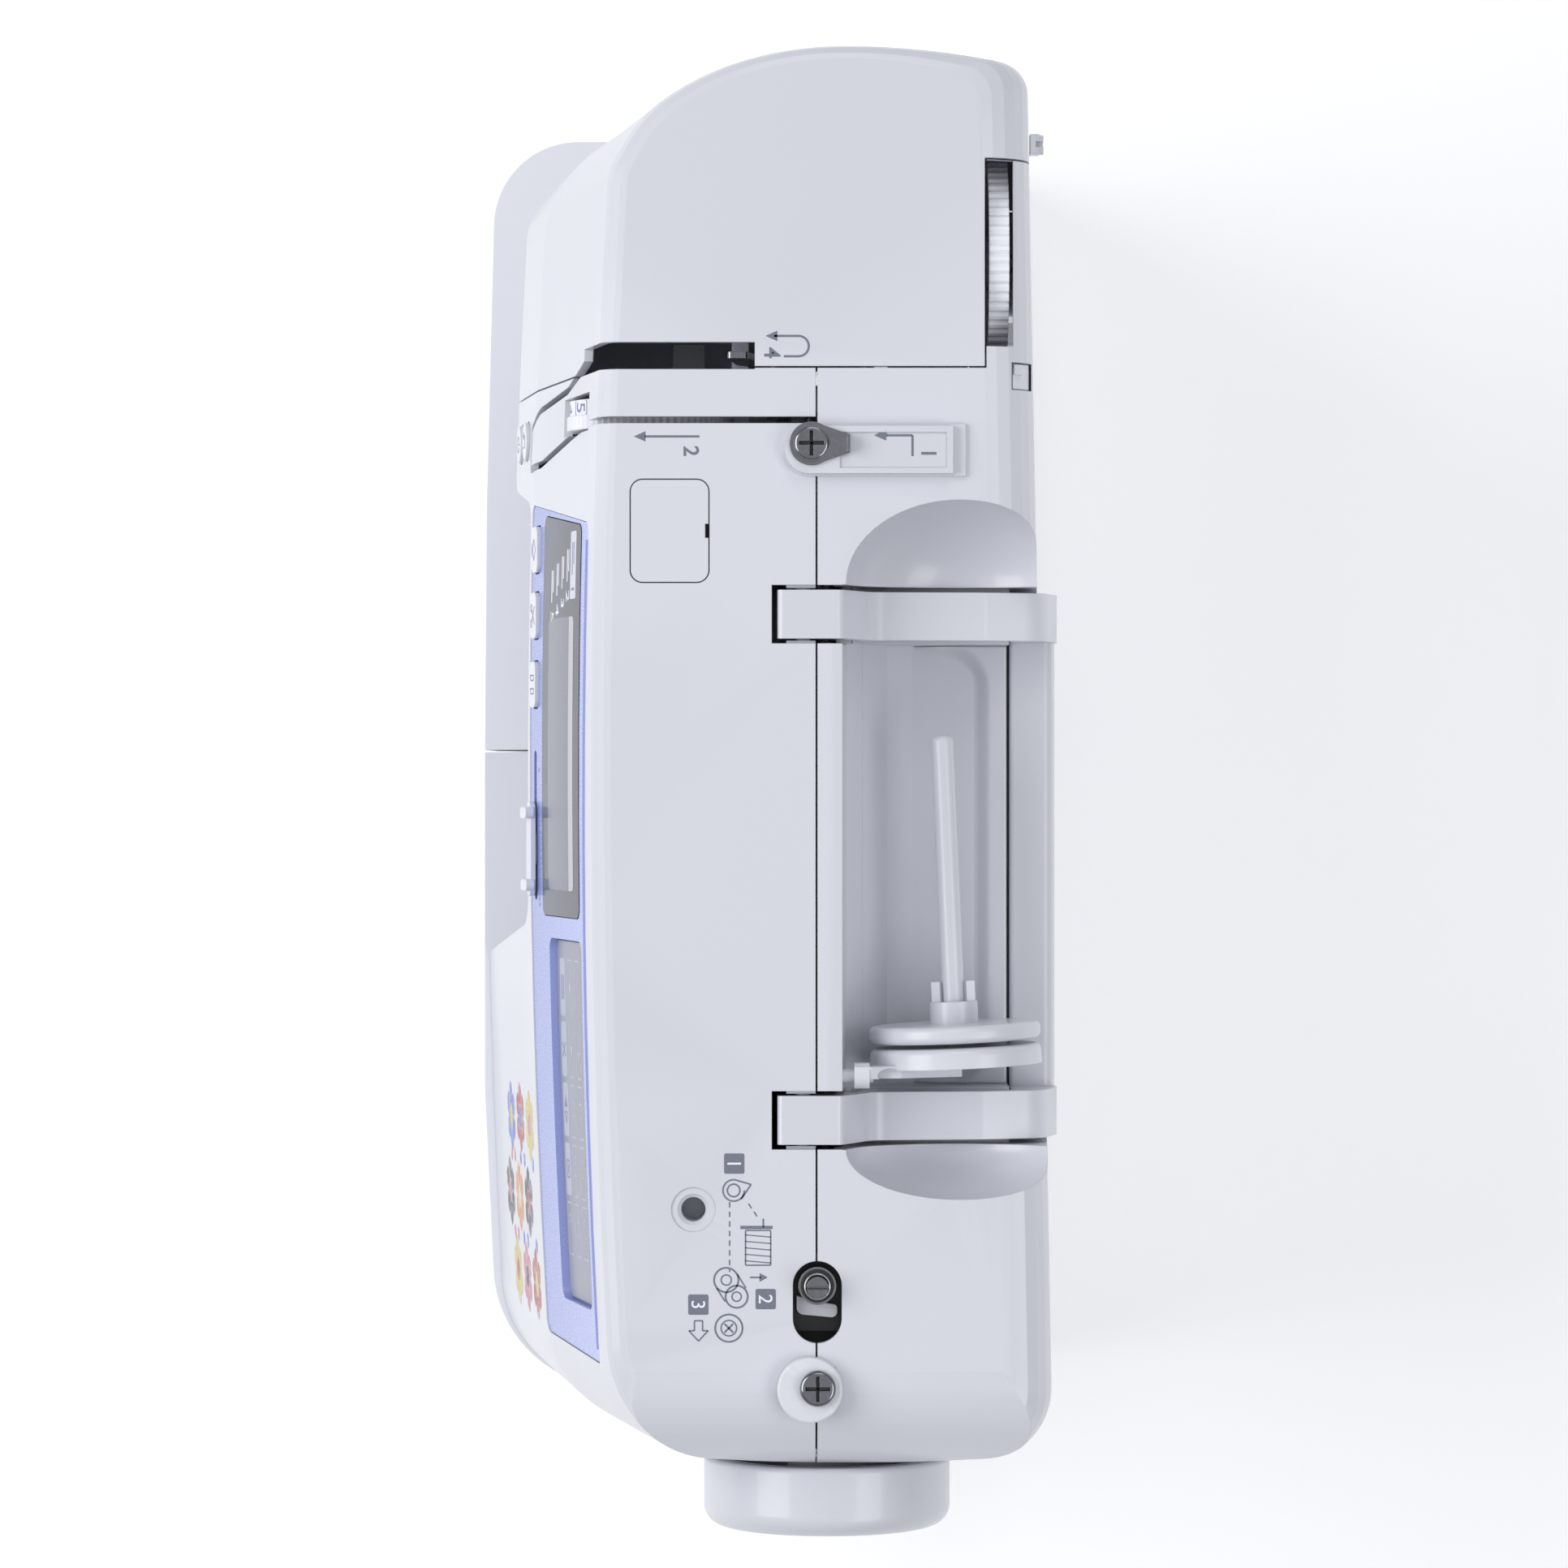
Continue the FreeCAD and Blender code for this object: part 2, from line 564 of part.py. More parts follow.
def guide_pad():
    """Raised thread guide moulding; its front end is round."""
    x0, x1 = GUIDE_X
    middle, half = (x0 + x1) / 2, (x1 - x0) / 2
    front = GUIDE_Y[0] + half

    def oblong(rear, shrink, span):
        bar = box((x0 + shrink, x1 - shrink), (front, rear), span)
        return bar.fuse(rod("z", middle, front, span, half - shrink)).removeSplitter()
    pad = fuse([oblong(GUIDE_Y[1], 0.0, (BODY_TOP, BODY_TOP + 1.2)),
                oblong(GUIDE_Y[1] - 3.4, 0.6, (BODY_TOP + 1.2, GUIDE_TOP))])
    panel = box((x0 + 2.4, x1 - 2.2), (GUIDE_Y[0] + 15.5, GUIDE_Y[1] - 5.2),
                (GUIDE_TOP - 0.5, GUIDE_TOP + 1))
    return pad.cut(panel).cut(rod("z", *guide_screw(), (280, 300), SCREW_R))


def guide_plate():
    """Steel thread guide: a round plate that narrows to a folded-up tab."""
    x, y = guide_screw()
    low, high = GUIDE_TOP, GUIDE_TOP + 0.8
    disc = rod("z", x, y, (low, high), 5.9)
    neck = slab("xy", [(x - 5.0, y + 3), (x + 5.0, y + 3), (x + 2.4, y + 10.4),
                       (x - 2.4, y + 10.4)], (low, high))
    tab = box((x - 2.4, x + 2.4), (y + 9.6, y + 10.4), (low, low + 3.6))
    return fuse([disc, neck, tab]).cut(rod("z", x, y, (280, 300), SCREW_R))


def slotted_screw(x, y, seat):
    """Round-headed screw with a cross slot; its shank reaches down through the cover."""
    head = rod("z", x, y, (seat, seat + 2.4), SCREW_HEAD_R)
    head = head.makeFillet(1.1, [e for e in head.Edges if e.BoundBox.ZMin > seat + 2])
    shank = rod("z", x, y, (seat - 7.5, seat + 0.5), SCREW_R - FIT)
    slots = [box((x - 3.4, x + 3.4), (y - 0.5, y + 0.5), (seat + 1.2, seat + 3)),
             box((x - 0.5, x + 0.5), (y - 3.4, y + 3.4), (seat + 1.2, seat + 3))]
    return head.fuse(shank).removeSplitter().cut(Part.makeCompound(slots))


def guide_screw():
    return (GUIDE_X[0] + GUIDE_X[1]) / 2 - 1.6, GUIDE_Y[0] + 7.8


def stopper_screw():
    return STOPPER_X - 0.6, STOPPER_Y + 2.1


def winder_stopper():
    x, y = stopper_screw()
    disc = rod("z", STOPPER_X, STOPPER_Y, (BODY_TOP + GAP, STOPPER_TOP), STOPPER_R)
    rim = [e for e in disc.Edges if e.BoundBox.ZMin > STOPPER_TOP - 0.1]
    return disc.makeFillet(0.8, rim).cut(rod("z", x, y, (280, 300), SCREW_R))


def cover_screws():
    return Part.makeCompound([
        slotted_screw(*guide_screw(), GUIDE_TOP + 0.8),
        slotted_screw(*stopper_screw(), STOPPER_TOP + GAP),
    ])


def winder_bracket():
    y0, y1 = WINDER_Y - 13, WINDER_Y + 13
    low, high = WINDER_SLOT[0] - 9.0, WINDER_SLOT[1] + 9.0
    floor = box((low, high), (y0, y1), (272.6, 275.7))
    posts = [box((x, x + 3.0), (y0, y1), (275.7, BODY_TOP - WALL - 0.4)) for x in (low, high - 3.0)]
    return fuse([floor, *posts])


def winder_carriage():
    """Plate that carries the winder spindle and slides towards the stopper."""
    plate = box((WINDER_X - 10, WINDER_X + 13), (WINDER_Y - 11, WINDER_Y + 11), (276.0, 281.0))
    wing = slab("xy", [(WINDER_X + 3, WINDER_Y - 5.6), (WINDER_X + 8, WINDER_Y - 5.6, 2),
                       (WINDER_X + 9, WINDER_Y + 5.4, 1.5), (WINDER_X + 5.5, WINDER_Y + 5.4, 1),
                       (WINDER_X + 4.5, WINDER_Y - 1)], (281.0, 284.8))
    bore = rod("z", WINDER_X, WINDER_Y, (270, 290), 2.0 + FIT)
    return fuse([plate, wing]).cut(bore)


def winder_spindle():
    parts = [rod("z", WINDER_X, WINDER_Y, (276.0, 283.0), 2.0),
             rod("z", WINDER_X, WINDER_Y, (281.3, 286.0), 2.9),
             rod("z", WINDER_X, WINDER_Y, (286.0, WINDER_SEAT), 5.1),
             rod("z", WINDER_X, WINDER_Y, (WINDER_SEAT, WINDER_TIP), WINDER_PIN_R)]
    slit = box((WINDER_X - 0.5, WINDER_X + 0.5), (WINDER_Y - 6, WINDER_Y + 6), (291, 300))
    return fuse(parts).cut(slit)


def carrying_handle():
    """Both arms and the grip in one moulding, folded down into the bay."""
    pivot_y, pivot_z = HANDLE_PIVOT
    floor = ARM_BAY_FLOOR + 0.6
    arm = [(HANDLE_FRONT, pivot_z - 7.0, 2), (HANDLE_FRONT, BODY_TOP, 1.5), (23.0, BODY_TOP, 2),
           (31.5, 268.5, 6), (62, 265, 10), (79, 259, 10), (83.6, 240, 12),
           (82.0, 224.2, 2), (GRIP_STEP_Y + 0.6, 224.2, 1.0),
           (GRIP_STEP_Y + 0.6, floor, 0.5), (30.4, floor, 3), (26.8, pivot_z - 12.5, 4)]
    arms = [slab("yz", arm, x) for x in handle_arms()]
    grip = [(GRIP_STEP_Y + 0.6, 224.6, 1.5), (81.6, 224.6, 2), (83.2, 232, 4), (82.0, 240.2, 3),
            (GRIP_STEP_Y + 0.6, 240.2, 1.5)]
    bar = slab("yz", grip, (HANDLE_X[0] + 3, HANDLE_X[1] - 3))
    corners = []
    for x, way in ((handle_arms()[0][1], 1), (handle_arms()[1][0], -1)):
        corners.append(slab("xy", [(x - way * 2, GRIP_STEP_Y + 1.6), (x + way * 7, GRIP_STEP_Y + 3),
                                   (x + way * 7, 81.0), (x - way * 2, 81.0)], (225.4, 239.4)))
    pins = [rod("x", pivot_y, pivot_z, (x[0] - 3.6, x[1] + 3.6), 2.0) for x in handle_arms()]
    return fuse([*arms, bar, *corners, *pins])


def handle_sockets():
    """Eyes under the top that hold the handle's pins."""
    pivot_y, pivot_z = HANDLE_PIVOT
    eyes = []
    for x in handle_arms():
        for side in ((x[0] - 4.4, x[0] - 0.5), (x[1] + 0.5, x[1] + 4.4)):
            eye = box(side, (pivot_y - 4.5, SPLIT_Y - SEAM / 2), (277.4, BODY_TOP - WALL + 0.1))
            eyes.append(eye.cut(rod("x", pivot_y, pivot_z, side, 2.0 + FIT)))
    return eyes


def skewed(shape):
    """Turns a piece of the spool pin about its root, so that the pin points to the front."""
    turned = shape.copy()
    turned.rotate(V(SPOOL_HINGE[0] - 4, SPOOL_Y, SPOOL_Z), V(0, 0, 1), SPOOL_SKEW)
    return turned


def spool_pin():
    """The pin, its base disc and the arm that hangs it on its hinge."""
    hinge_x, hinge_z = SPOOL_HINGE
    shaft = rod("x", SPOOL_Y, SPOOL_Z, (-17.0, 70.0), SPOOL_PIN_R)
    tip = [e for e in shaft.Edges if e.BoundBox.XMax < -16]
    disc = rod("x", SPOOL_Y, SPOOL_Z, (68.0, 73.6), SPOOL_DISC_R)
    rim = [e for e in disc.Edges if e.BoundBox.XMax < 68.1]
    arm = slab("yz", [(26.4, hinge_z - 3), (26.4, hinge_z + 3), (31, hinge_z + 3), (56, 272),
                      (56, 260), (50, 258), (31, hinge_z - 6)], (73.0, 76.4))
    eye = rod("y", hinge_x, hinge_z, (26.4, 30.6), 3.5).cut(
        rod("y", hinge_x, hinge_z, (26.0, 31.0), 1.8 + FIT))
    turned = skewed(fuse([shaft.makeFillet(2.0, tip), disc.makeFillet(2.0, rim)]))
    arm = arm.cut(rod("y", hinge_x, hinge_z, (20, 40), 1.8 + FIT))
    return fuse([turned, arm, eye])


def spool_hinge_pin():
    hinge_x, hinge_z = SPOOL_HINGE
    return rod("y", hinge_x, hinge_z, (20.2, 31.6), 1.8)


def spool_holder():
    """Pushed onto the spool pin against the spool: a disc, a neck and two gripping fingers."""
    disc = rod("x", SPOOL_Y, SPOOL_Z, (62.0, 66.8), SPOOL_DISC_R)
    rim = [e for e in disc.Edges if e.Length > 50]
    neck = rod("x", SPOOL_Y, SPOOL_Z, (56.0, 62.5), 6.6)
    fingers = [box((50.5, 57.0), (SPOOL_Y + y, SPOOL_Y + y + 2.4), (SPOOL_Z - 2.6, SPOOL_Z + 2.6))
               for y in (-6.0, 3.6)]
    bore = rod("x", SPOOL_Y, SPOOL_Z, (40, 80), SPOOL_PIN_R + FIT)
    body = fuse([disc.makeFillet(1.8, rim), neck, *fingers]).cut(bore)
    return skewed(body)


def thread_hook():
    """Small moulded hook with a steel cutter ring, at the rear of the needle head end."""
    body = box((-187.8, -182.2), (77.2, 79.8), (207, 213)).fuse(
        rod("y", -185.0, 210.0, (77.6, 81.0), 2.8))
    return body.removeSplitter().cut(box((-185.8, -184.2), (78.8, 90), (208.8, 220)))


# ================================================================= base, free arm and bed
def base_plan(inset, left):
    right, front, rear = ARM_RIGHT + 1.2 - inset, BASE_FRONT + inset, BASE_REAR - inset
    return [(left, front), (90, front, 140), (right, front + 4.4, 38 - inset),
            (right, rear, 22 - inset), (left, rear)]


def base_pan():
    low, high = BASE_Z
    tray = slab("xy", base_plan(0.4, BASE_LEFT), (low, high - GAP)).cut(
        slab("xy", base_plan(3.0, BASE_LEFT + 3), (low + 3, high + 5)))
    tongue = slab("xy", rounded((TONGUE_END, BASE_LEFT + 1), TONGUE_Y, 0.0), (low, high - 2)).cut(
        slab("xy", rounded((TONGUE_END + 3, BASE_LEFT - 3), (TONGUE_Y[0] + 3, TONGUE_Y[1] - 3),
                           0.0), (low + 3, high - 5)))
    sockets = [rod("z", x, y, (low + 2, high - 4), 5.0) for x, y in FEET]
    return fuse([tray, tongue, *sockets]).cut(
        Part.makeCompound([rod("z", x, y, (low - 2, low + 1.5), 3.0) for x, y in FEET]))


def rubber_feet():
    feet = []
    for x, y in FEET:
        pad = rod("z", x, y, (0.0, BASE_Z[0] - 0.05), 9.0)
        rim = [e for e in pad.Edges if e.BoundBox.ZMax < 1]
        feet.append(pad.makeFillet(1.2, rim).fuse(
            rod("z", x, y, (2.0, BASE_Z[0] + 1.3), 2.9)).removeSplitter())
    return Part.makeCompound(feet)


def bed_housing():
    """The base under the column together with the free arm, as one open-bottomed shell."""
    base = slab("xy", base_plan(0.0, BASE_LEFT), (BASE_Z[1], BED_TOP))
    arm = free_arm(0.0)
    base_inside = slab("xy", base_plan(WALL, BASE_LEFT + WALL), (BASE_Z[1] - 5, BED_TOP - WALL))
    passage = box((BASE_LEFT - 20, BASE_LEFT + 20), (FREE_ARM_Y[0] + WALL, FREE_ARM_Y[1] - WALL),
                  (FREE_ARM_UNDER + WALL, BED_TOP - WALL))
    column = box((52, 166), (-66, 70), (BED_TOP - 10, BED_TOP + 5))
    plate = box((PLATE_X[0] - GAP, PLATE_X[1] + GAP), (HOOK_COVER_Y[0] - GAP, PLATE_Y[1] + GAP),
                (BED_TOP - 10, BED_TOP + 5))
    through = (ARM_RIGHT - 31, ARM_RIGHT + 19)
    inlet = box(through, (INLET_Y[0] - GAP, INLET_Y[1] + GAP),
                (INLET_Z[0] - GAP, INLET_Z[1] + GAP))
    switch = box(through, (SWITCH_Y[0] - GAP, SWITCH_Y[1] + GAP),
                 (SWITCH_Z[0] - GAP, SWITCH_Z[1] + GAP))
    hollow = fuse([base_inside, free_arm(WALL), passage])
    return largest(base.fuse(arm).cut(hollow).cut(
        Part.makeCompound([column, plate, inlet, switch])).removeSplitter())


def free_arm(inset):
    y0, y1 = FREE_ARM_Y[0] + inset, FREE_ARM_Y[1] - inset
    under, over = FREE_ARM_UNDER + inset, BED_TOP - inset
    section = [(y0, under, 6), (y1, under, 6), (y1, over, 3), (y0, over, 3)]
    along = slab("yz", section, (FREE_ARM_END + inset, BASE_LEFT + 1 - inset))
    plan = [(FREE_ARM_END + inset, y0, 16), (0, y0), (0, y1), (FREE_ARM_END + inset, y1, 16)]
    return along.common(slab("xy", plan, (0, 100)))


def power_inlet():
    """Appliance inlet, a shroud whose socket is open towards +X, and the box of the switch."""
    wall = ARM_RIGHT + 0.6
    y0, y1 = INLET_Y
    z0, z1 = INLET_Z
    body = box((wall - 23.6, wall), INLET_Y, INLET_Z).fuse(
        box((wall - 7.6, wall - WALL - 1.6), (y0 - 3, y1 + 3), (z0 - 3, z1 + 3))).removeSplitter()
    socket = slab("yz", [(y0 + 2, z0 + 2, 3), (y1 - 2, z0 + 2, 3), (y1 - 2, z1 - 2, 6),
                         (y0 + 2, z1 - 2, 6)], (wall - 19.6, wall + 1))
    pins = [rod("x", y, (z0 + z1) / 2, (wall - 21.6, wall - 5.6), 1.3) for y in (y0 + 8, y1 - 8)]
    return Part.makeCompound([fuse([body.cut(socket), *pins]), switch_frame()])


def power_switch():
    """Rocker that pivots on its middle pin."""
    y0, y1 = SWITCH_Y
    z0, z1 = SWITCH_Z
    x, middle = ARM_RIGHT, (z0 + z1) / 2
    rocker = slab("xz", [(x - 11, z0 + 3), (x - 1.4, z0 + 0.9), (x + 1.2, z0 + 0.9),
                         (x - 0.2, middle, 20), (x + 2.4, z1 - 1.8), (x - 1.4, z1 - 0.9),
                         (x - 11, z1 - 3)], (y0 + 0.4, y1 - 0.4))
    return rocker.cut(rod("y", x - 5, middle, (y0 - 1, y1 + 1), 1.5 + FIT))


def switch_frame():
    """Box behind the rocker with the pin that it pivots on."""
    y0, y1 = SWITCH_Y
    z0, z1 = SWITCH_Z
    x = ARM_RIGHT
    outer = box((x - 21, x - 2.6), (y0 - 3, y1 + 3), (z0 - 3, z1 + 3))
    room = box((x - 18, x + 9), SWITCH_Y, SWITCH_Z)
    pin = rod("y", x - 5, (z0 + z1) / 2, (y0 - 1, y1 + 1), 1.5)
    return fuse([outer.cut(room), pin])


def needle_plate():
    thick = (BED_TOP - 2.0, BED_TOP)
    plate = box(PLATE_X, PLATE_Y, thick).fuse(
        box((PLATE_X[1] - 10, PLATE_X[1]), (HOOK_COVER_Y[0], PLATE_Y[0] + 1), thick))
    needle = slab("xy", rounded((NEEDLE_X - 4.4, NEEDLE_X + 4.4), (NEEDLE_Y - 1, NEEDLE_Y + 1),
                                0.98), (60, 90))
    slots = [box((x - 0.5, x + FEED_WIDTH + 0.5), (FEED_Y[0] - 0.9, FEED_Y[1] + 0.9), (60, 90))
             for x in FEED_ROWS]
    button = box((PLATE_X[1] - 8.2, PLATE_X[1] - 1.8), (-24, -12), (60, 90))
    return plate.removeSplitter().cut(Part.makeCompound([needle, *slots, button]))


def feed_dog():
    """Two toothed bars on a carrier under the needle plate."""
    carrier = box((NEEDLE_X - 11, NEEDLE_X + 11), (8.0, 29.0), (66.0, 71.0))
    depth, pitch = 0.9, 1.6
    count = int((FEED_Y[1] - FEED_Y[0]) / pitch)
    teeth = [(FEED_Y[0], 70.0), (FEED_Y[1], 70.0)]
    for i in range(count, 0, -1):
        teeth.append((FEED_Y[0] + i * pitch, FEED_TOP - depth))
        teeth.append((FEED_Y[0] + (i - 0.35) * pitch, FEED_TOP))
    teeth.append((FEED_Y[0], FEED_TOP - depth))
    rows = [slab("yz", teeth, (x, x + FEED_WIDTH)) for x in FEED_ROWS]
    return fuse([carrier, *rows])


def hook_cover():
    """Clear sliding cover over the bobbin, with a thumb hollow."""
    plate = box((PLATE_X[0], PLATE_X[1] - 10.4), HOOK_COVER_Y, (BED_TOP - 2.0, BED_TOP))
    return plate.cut(rod("z", NEEDLE_X - 17, -19, (BED_TOP - 0.9, BED_TOP + 1), 5.5))


def cover_release():
    cap = box((PLATE_X[1] - 7.8, PLATE_X[1] - 4.6), (-23.6, -12.4), (BED_TOP - 5, BED_TOP + 0.8))
    foot = box((PLATE_X[1] - 7.8, PLATE_X[1] - 3.0), (-26, -10), (BED_TOP - 6.5, BED_TOP - 2.3))
    return fuse([cap, foot])


def extension_table():
    """Removable bed extension: a hollow U round the free arm, with a box in its front."""
    right = BASE_LEFT - 0.8
    corner = 26.0
    outer = slab("xy", [(TABLE_LEFT, BASE_FRONT + 3.4, corner), (-90, BASE_FRONT + 0.6, 200),
                        (right, BASE_FRONT), (right, TABLE_REAR), (TABLE_LEFT, TABLE_REAR, 14)],
                 (6.0, TABLE_TOP))
    y0, y1 = FREE_ARM_Y[0] - 1.2, FREE_ARM_Y[1] + 1.2
    well = slab("xy", [(FREE_ARM_END - 1.2, y0, 16), (0, y0), (0, y1), (FREE_ARM_END - 1.2, y1, 16)],
                (0, 100))
    wall = 2.6
    front = slab("xy", [(TABLE_LEFT + wall + 12, BASE_FRONT + 3.4 + wall, corner - wall),
                        (-90, BASE_FRONT + 0.6 + wall, 200), (right - wall, BASE_FRONT + wall),
                        (right - wall, y0 - wall), (TABLE_LEFT + wall + 12, y0 - wall)],
                 (6.0 + wall, TABLE_TOP - wall))
    rear = box((TABLE_LEFT + 20, right - wall), (y1 + wall, TABLE_REAR - wall), (0, TABLE_TOP - wall))
    door = box(FLAP_X, (-100, -70), FLAP_Z)
    left = right - TABLE_LEFT
    grip = rod("x", BASE_FRONT - 4, 6.0, (TABLE_LEFT + 0.2 * left, TABLE_LEFT + 0.2 * left + 1), 1.0)
    return largest(outer.cut(Part.makeCompound([well, front, rear, door, grip])))


def accessory_lid():
    """Flap in the front of the extension table, hinged along its lower edge."""
    x0, x1 = FLAP_X[0] + 0.5, FLAP_X[1] - 0.5
    z0, z1 = FLAP_Z[0] + 0.5, FLAP_Z[1] - 0.5
    y = BASE_FRONT + 2.4
    flap = box((x0, x1), (y, y + 2.6), (z0, z1))
    rail = rod("x", y + 1.3, z0 + 1.3, (x0, x1), 1.3)
    finger = slab("xz", [((x0 + x1) / 2 - 14, z1 + 1), ((x0 + x1) / 2 + 14, z1 + 1),
                         ((x0 + x1) / 2 + 9, z1 - 4, 4), ((x0 + x1) / 2 - 9, z1 - 4, 4)], (-100, -70))
    return flap.cut(box((x0 - 1, x1 + 1), (y - 1, y + 1.3), (z0 - 1, z0 + 1.3))).fuse(
        rail).removeSplitter().cut(finger)


# ================================================================= frame and shafts
def chassis_frame():
    """Cast frame: foot, two column pillars, the arm beam, the head plate and the arm bed."""
    plate = (-102, -96)
    guides = (-141, -128)
    bearing = box((56, 64), (SHAFT_Y - SHAFT_R - 5.4, SHAFT_Y + SHAFT_R + 3.1),
                  (200, SHAFT_Z + SHAFT_R + 5.0))
    blocks = [
        box((50, 165), (-40, 54), (8.3, 14.0)),
        box((56, 64), (-20, 45), (14.0, 201)), bearing,
        box((150, 158), (-30, 54), (14, 190)), box((150, 158), (-6, 45), (189, 250)),
        box((150, 158), (-58, -28), (60, 172)),
        box((-102, 60), (-14, 42), (192.0, 201.0)).cut(box((-80, 40), (0, 30), (190, 203))),
        box(plate, (-14, 42), (151, 221)), box(plate, (-3, 42), (220, 250)),
        box(plate, (-24, -13), (200, 221)), box((-128.5, -96), (-24, -15), (206, 214)),
        box((-146, -96), (-3, 33), (151, 158)),
        box(guides, (-24, -15), (206, 236)), box(guides, (-24, 37), (228, 236)),
        box(guides, (28.5, 37), (204, 236)),
        box((-152, 58), (14, 26), (42, 50)),
        *[box((x, x + 6), (-5, 26), (42, 58)) for x in (-152, -100, -20)],
        hook_bearing(),
    ]
    bores = [
        rod("x", SHAFT_Y, SHAFT_Z, (-104, 170), SHAFT_R + 3.0),
        rod("x", LOWER_Y, LOWER_Z, (-160, 130), LOWER_R + 2.0),
        rod("z", NEEDLE_X, NEEDLE_Y, (140, 250), NEEDLE_BAR_R + FIT),
        rod("z", NEEDLE_X, PRESSER_Y, (140, 250), PRESSER_BAR_R + FIT),
    ]
    carried = [rod("x", TAKE_UP[0], TAKE_UP[1], (-129, -118.0), 2.0), lifter_pin(),
               tension_axle(), pressure_axle()]
    return fuse([fuse(blocks).cut(Part.makeCompound(bores)), *carried])


def shaft_bushes():
    """Sintered bushes pressed into the frame for both shafts."""
    upper = [tube("x", SHAFT_Y, SHAFT_Z, span, SHAFT_R + 3.0, SHAFT_R + FIT)
             for span in ((-102, -96), (56, 64), (150, 158))]
    lower = [tube("x", LOWER_Y, LOWER_Z, span, LOWER_R + 2.0, LOWER_R + FIT)
             for span in ((-152, -146), (-100, -94), (-20, -14), (56, 64))]
    return Part.makeCompound(upper + lower)


def upper_shaft():
    """Main shaft with the crank disc and its crank pin."""
    shaft = rod("x", SHAFT_Y, SHAFT_Z, (CRANK_X[0], HANDWHEEL[1] - 6), SHAFT_R)
    disc = rod("x", SHAFT_Y, SHAFT_Z, CRANK_X, CRANK_R)
    weight = slab("yz", [(SHAFT_Y - 16, SHAFT_Z - 19), (SHAFT_Y + 16, SHAFT_Z - 19),
                         (SHAFT_Y + 10, SHAFT_Z - 4), (SHAFT_Y - 10, SHAFT_Z - 4)],
                  (CRANK_X[1] - 1, CRANK_X[1] + 2.6)).common(
        rod("x", SHAFT_Y, SHAFT_Z, (CRANK_X[0], CRANK_X[1] + 4), CRANK_R))
    pin = rod("x", SHAFT_Y, SHAFT_Z + CRANK_THROW, (ROD_X[0], CRANK_X[0] + 1), 3.0)
    return fuse([shaft, disc, weight, pin])


def shaft_pulleys():
    """Belt pulley and timing pulley on the upper shaft, with their side flanges."""
    wheels = []
    for span, radius in ((BELT_X, PULLEY_R), (TIMING_X, TIMING_R)):
        rims = [(span[0] - 1.0, span[0]), (span[1], span[1] + 1.0)]
        wheel = fuse([rod("x", SHAFT_Y, SHAFT_Z, span, radius),
                      *[rod("x", SHAFT_Y, SHAFT_Z, rim, radius + 2.4) for rim in rims]])
        wheels.append(wheel.cut(rod("x", SHAFT_Y, SHAFT_Z, (90, 130), SHAFT_R + FIT)))
    holes = [rod("x", SHAFT_Y + 16 * math.cos(turn), SHAFT_Z + 16 * math.sin(turn), (110, 122), 5.0)
             for turn in [math.radians(60 * i) for i in range(6)]]
    return Part.makeCompound([wheels[0].cut(Part.makeCompound(holes)), wheels[1]])


def handwheel():
    low, high = HANDWHEEL
    wheel = rod("x", SHAFT_Y, SHAFT_Z, (low, high), HANDWHEEL_R)
    outer = [e for e in wheel.Edges if e.BoundBox.XMin > high - 0.1]
    inner = [e for e in wheel.Edges if e.BoundBox.XMax < low + 0.1]
    wheel = wheel.makeFillet(5.6, outer).makeFillet(1.6, inner)
    hollow = tube("x", SHAFT_Y, SHAFT_Z, (low - 1, high - 6), HANDWHEEL_R - 5, 11.0)
    dish = Part.makeSphere(60.0, V(high + 57.6, SHAFT_Y, SHAFT_Z))
    dish = dish.common(rod("x", SHAFT_Y, SHAFT_Z, (high - 4, high + 4), HANDWHEEL_R - 9))
    bore = rod("x", SHAFT_Y, SHAFT_Z, (low - 1, high - 6), SHAFT_R + FIT)
    return wheel.cut(hollow).cut(dish).cut(bore)


def connecting_rod():
    """From the crank pin down to the stud on the needle bar."""
    top = (SHAFT_Y, SHAFT_Z + CRANK_THROW)
    foot = rod_foot()
    lean = math.atan2(foot[0] - top[0], top[1] - foot[1])
    across = (math.cos(lean) * 3.2, math.sin(lean) * 3.2)
    web = slab("yz", [(top[0] - across[0], top[1] - across[1]), (top[0] + across[0], top[1] + across[1]),
                      (foot[0] + across[0], foot[1] + across[1]),
                      (foot[0] - across[0], foot[1] - across[1])], (ROD_X[0] + 0.6, ROD_X[1] - 0.6))
    whole = fuse([web, rod("x", *top, ROD_X, 6.0), rod("x", *foot, ROD_X, 4.6)])
    return whole.cut(rod("x", *top, (-130, -100), 3.0 + FIT)).cut(
        rod("x", *foot, (-130, -100), 2.0))


def rod_foot():
    """Where the rod meets the needle bar stud when the needle is at its highest."""
    drop = math.sqrt(ROD_LENGTH ** 2 - (SHAFT_Y - NEEDLE_Y) ** 2)
    return NEEDLE_Y, SHAFT_Z + CRANK_THROW - drop


def lower_shaft():
    shaft = rod("x", LOWER_Y, LOWER_Z, (-154, TIMING_X[1] + 3), LOWER_R)
    gear = rod("x", LOWER_Y, LOWER_Z, (NEEDLE_X - 4, NEEDLE_X + 4), LOWER_GEAR_R)
    cam = rod("x", LOWER_Y + 1.5, LOWER_Z, (-116, -110), LOWER_R + 2)
    return fuse([shaft, gear, cam, lower_pulley()])


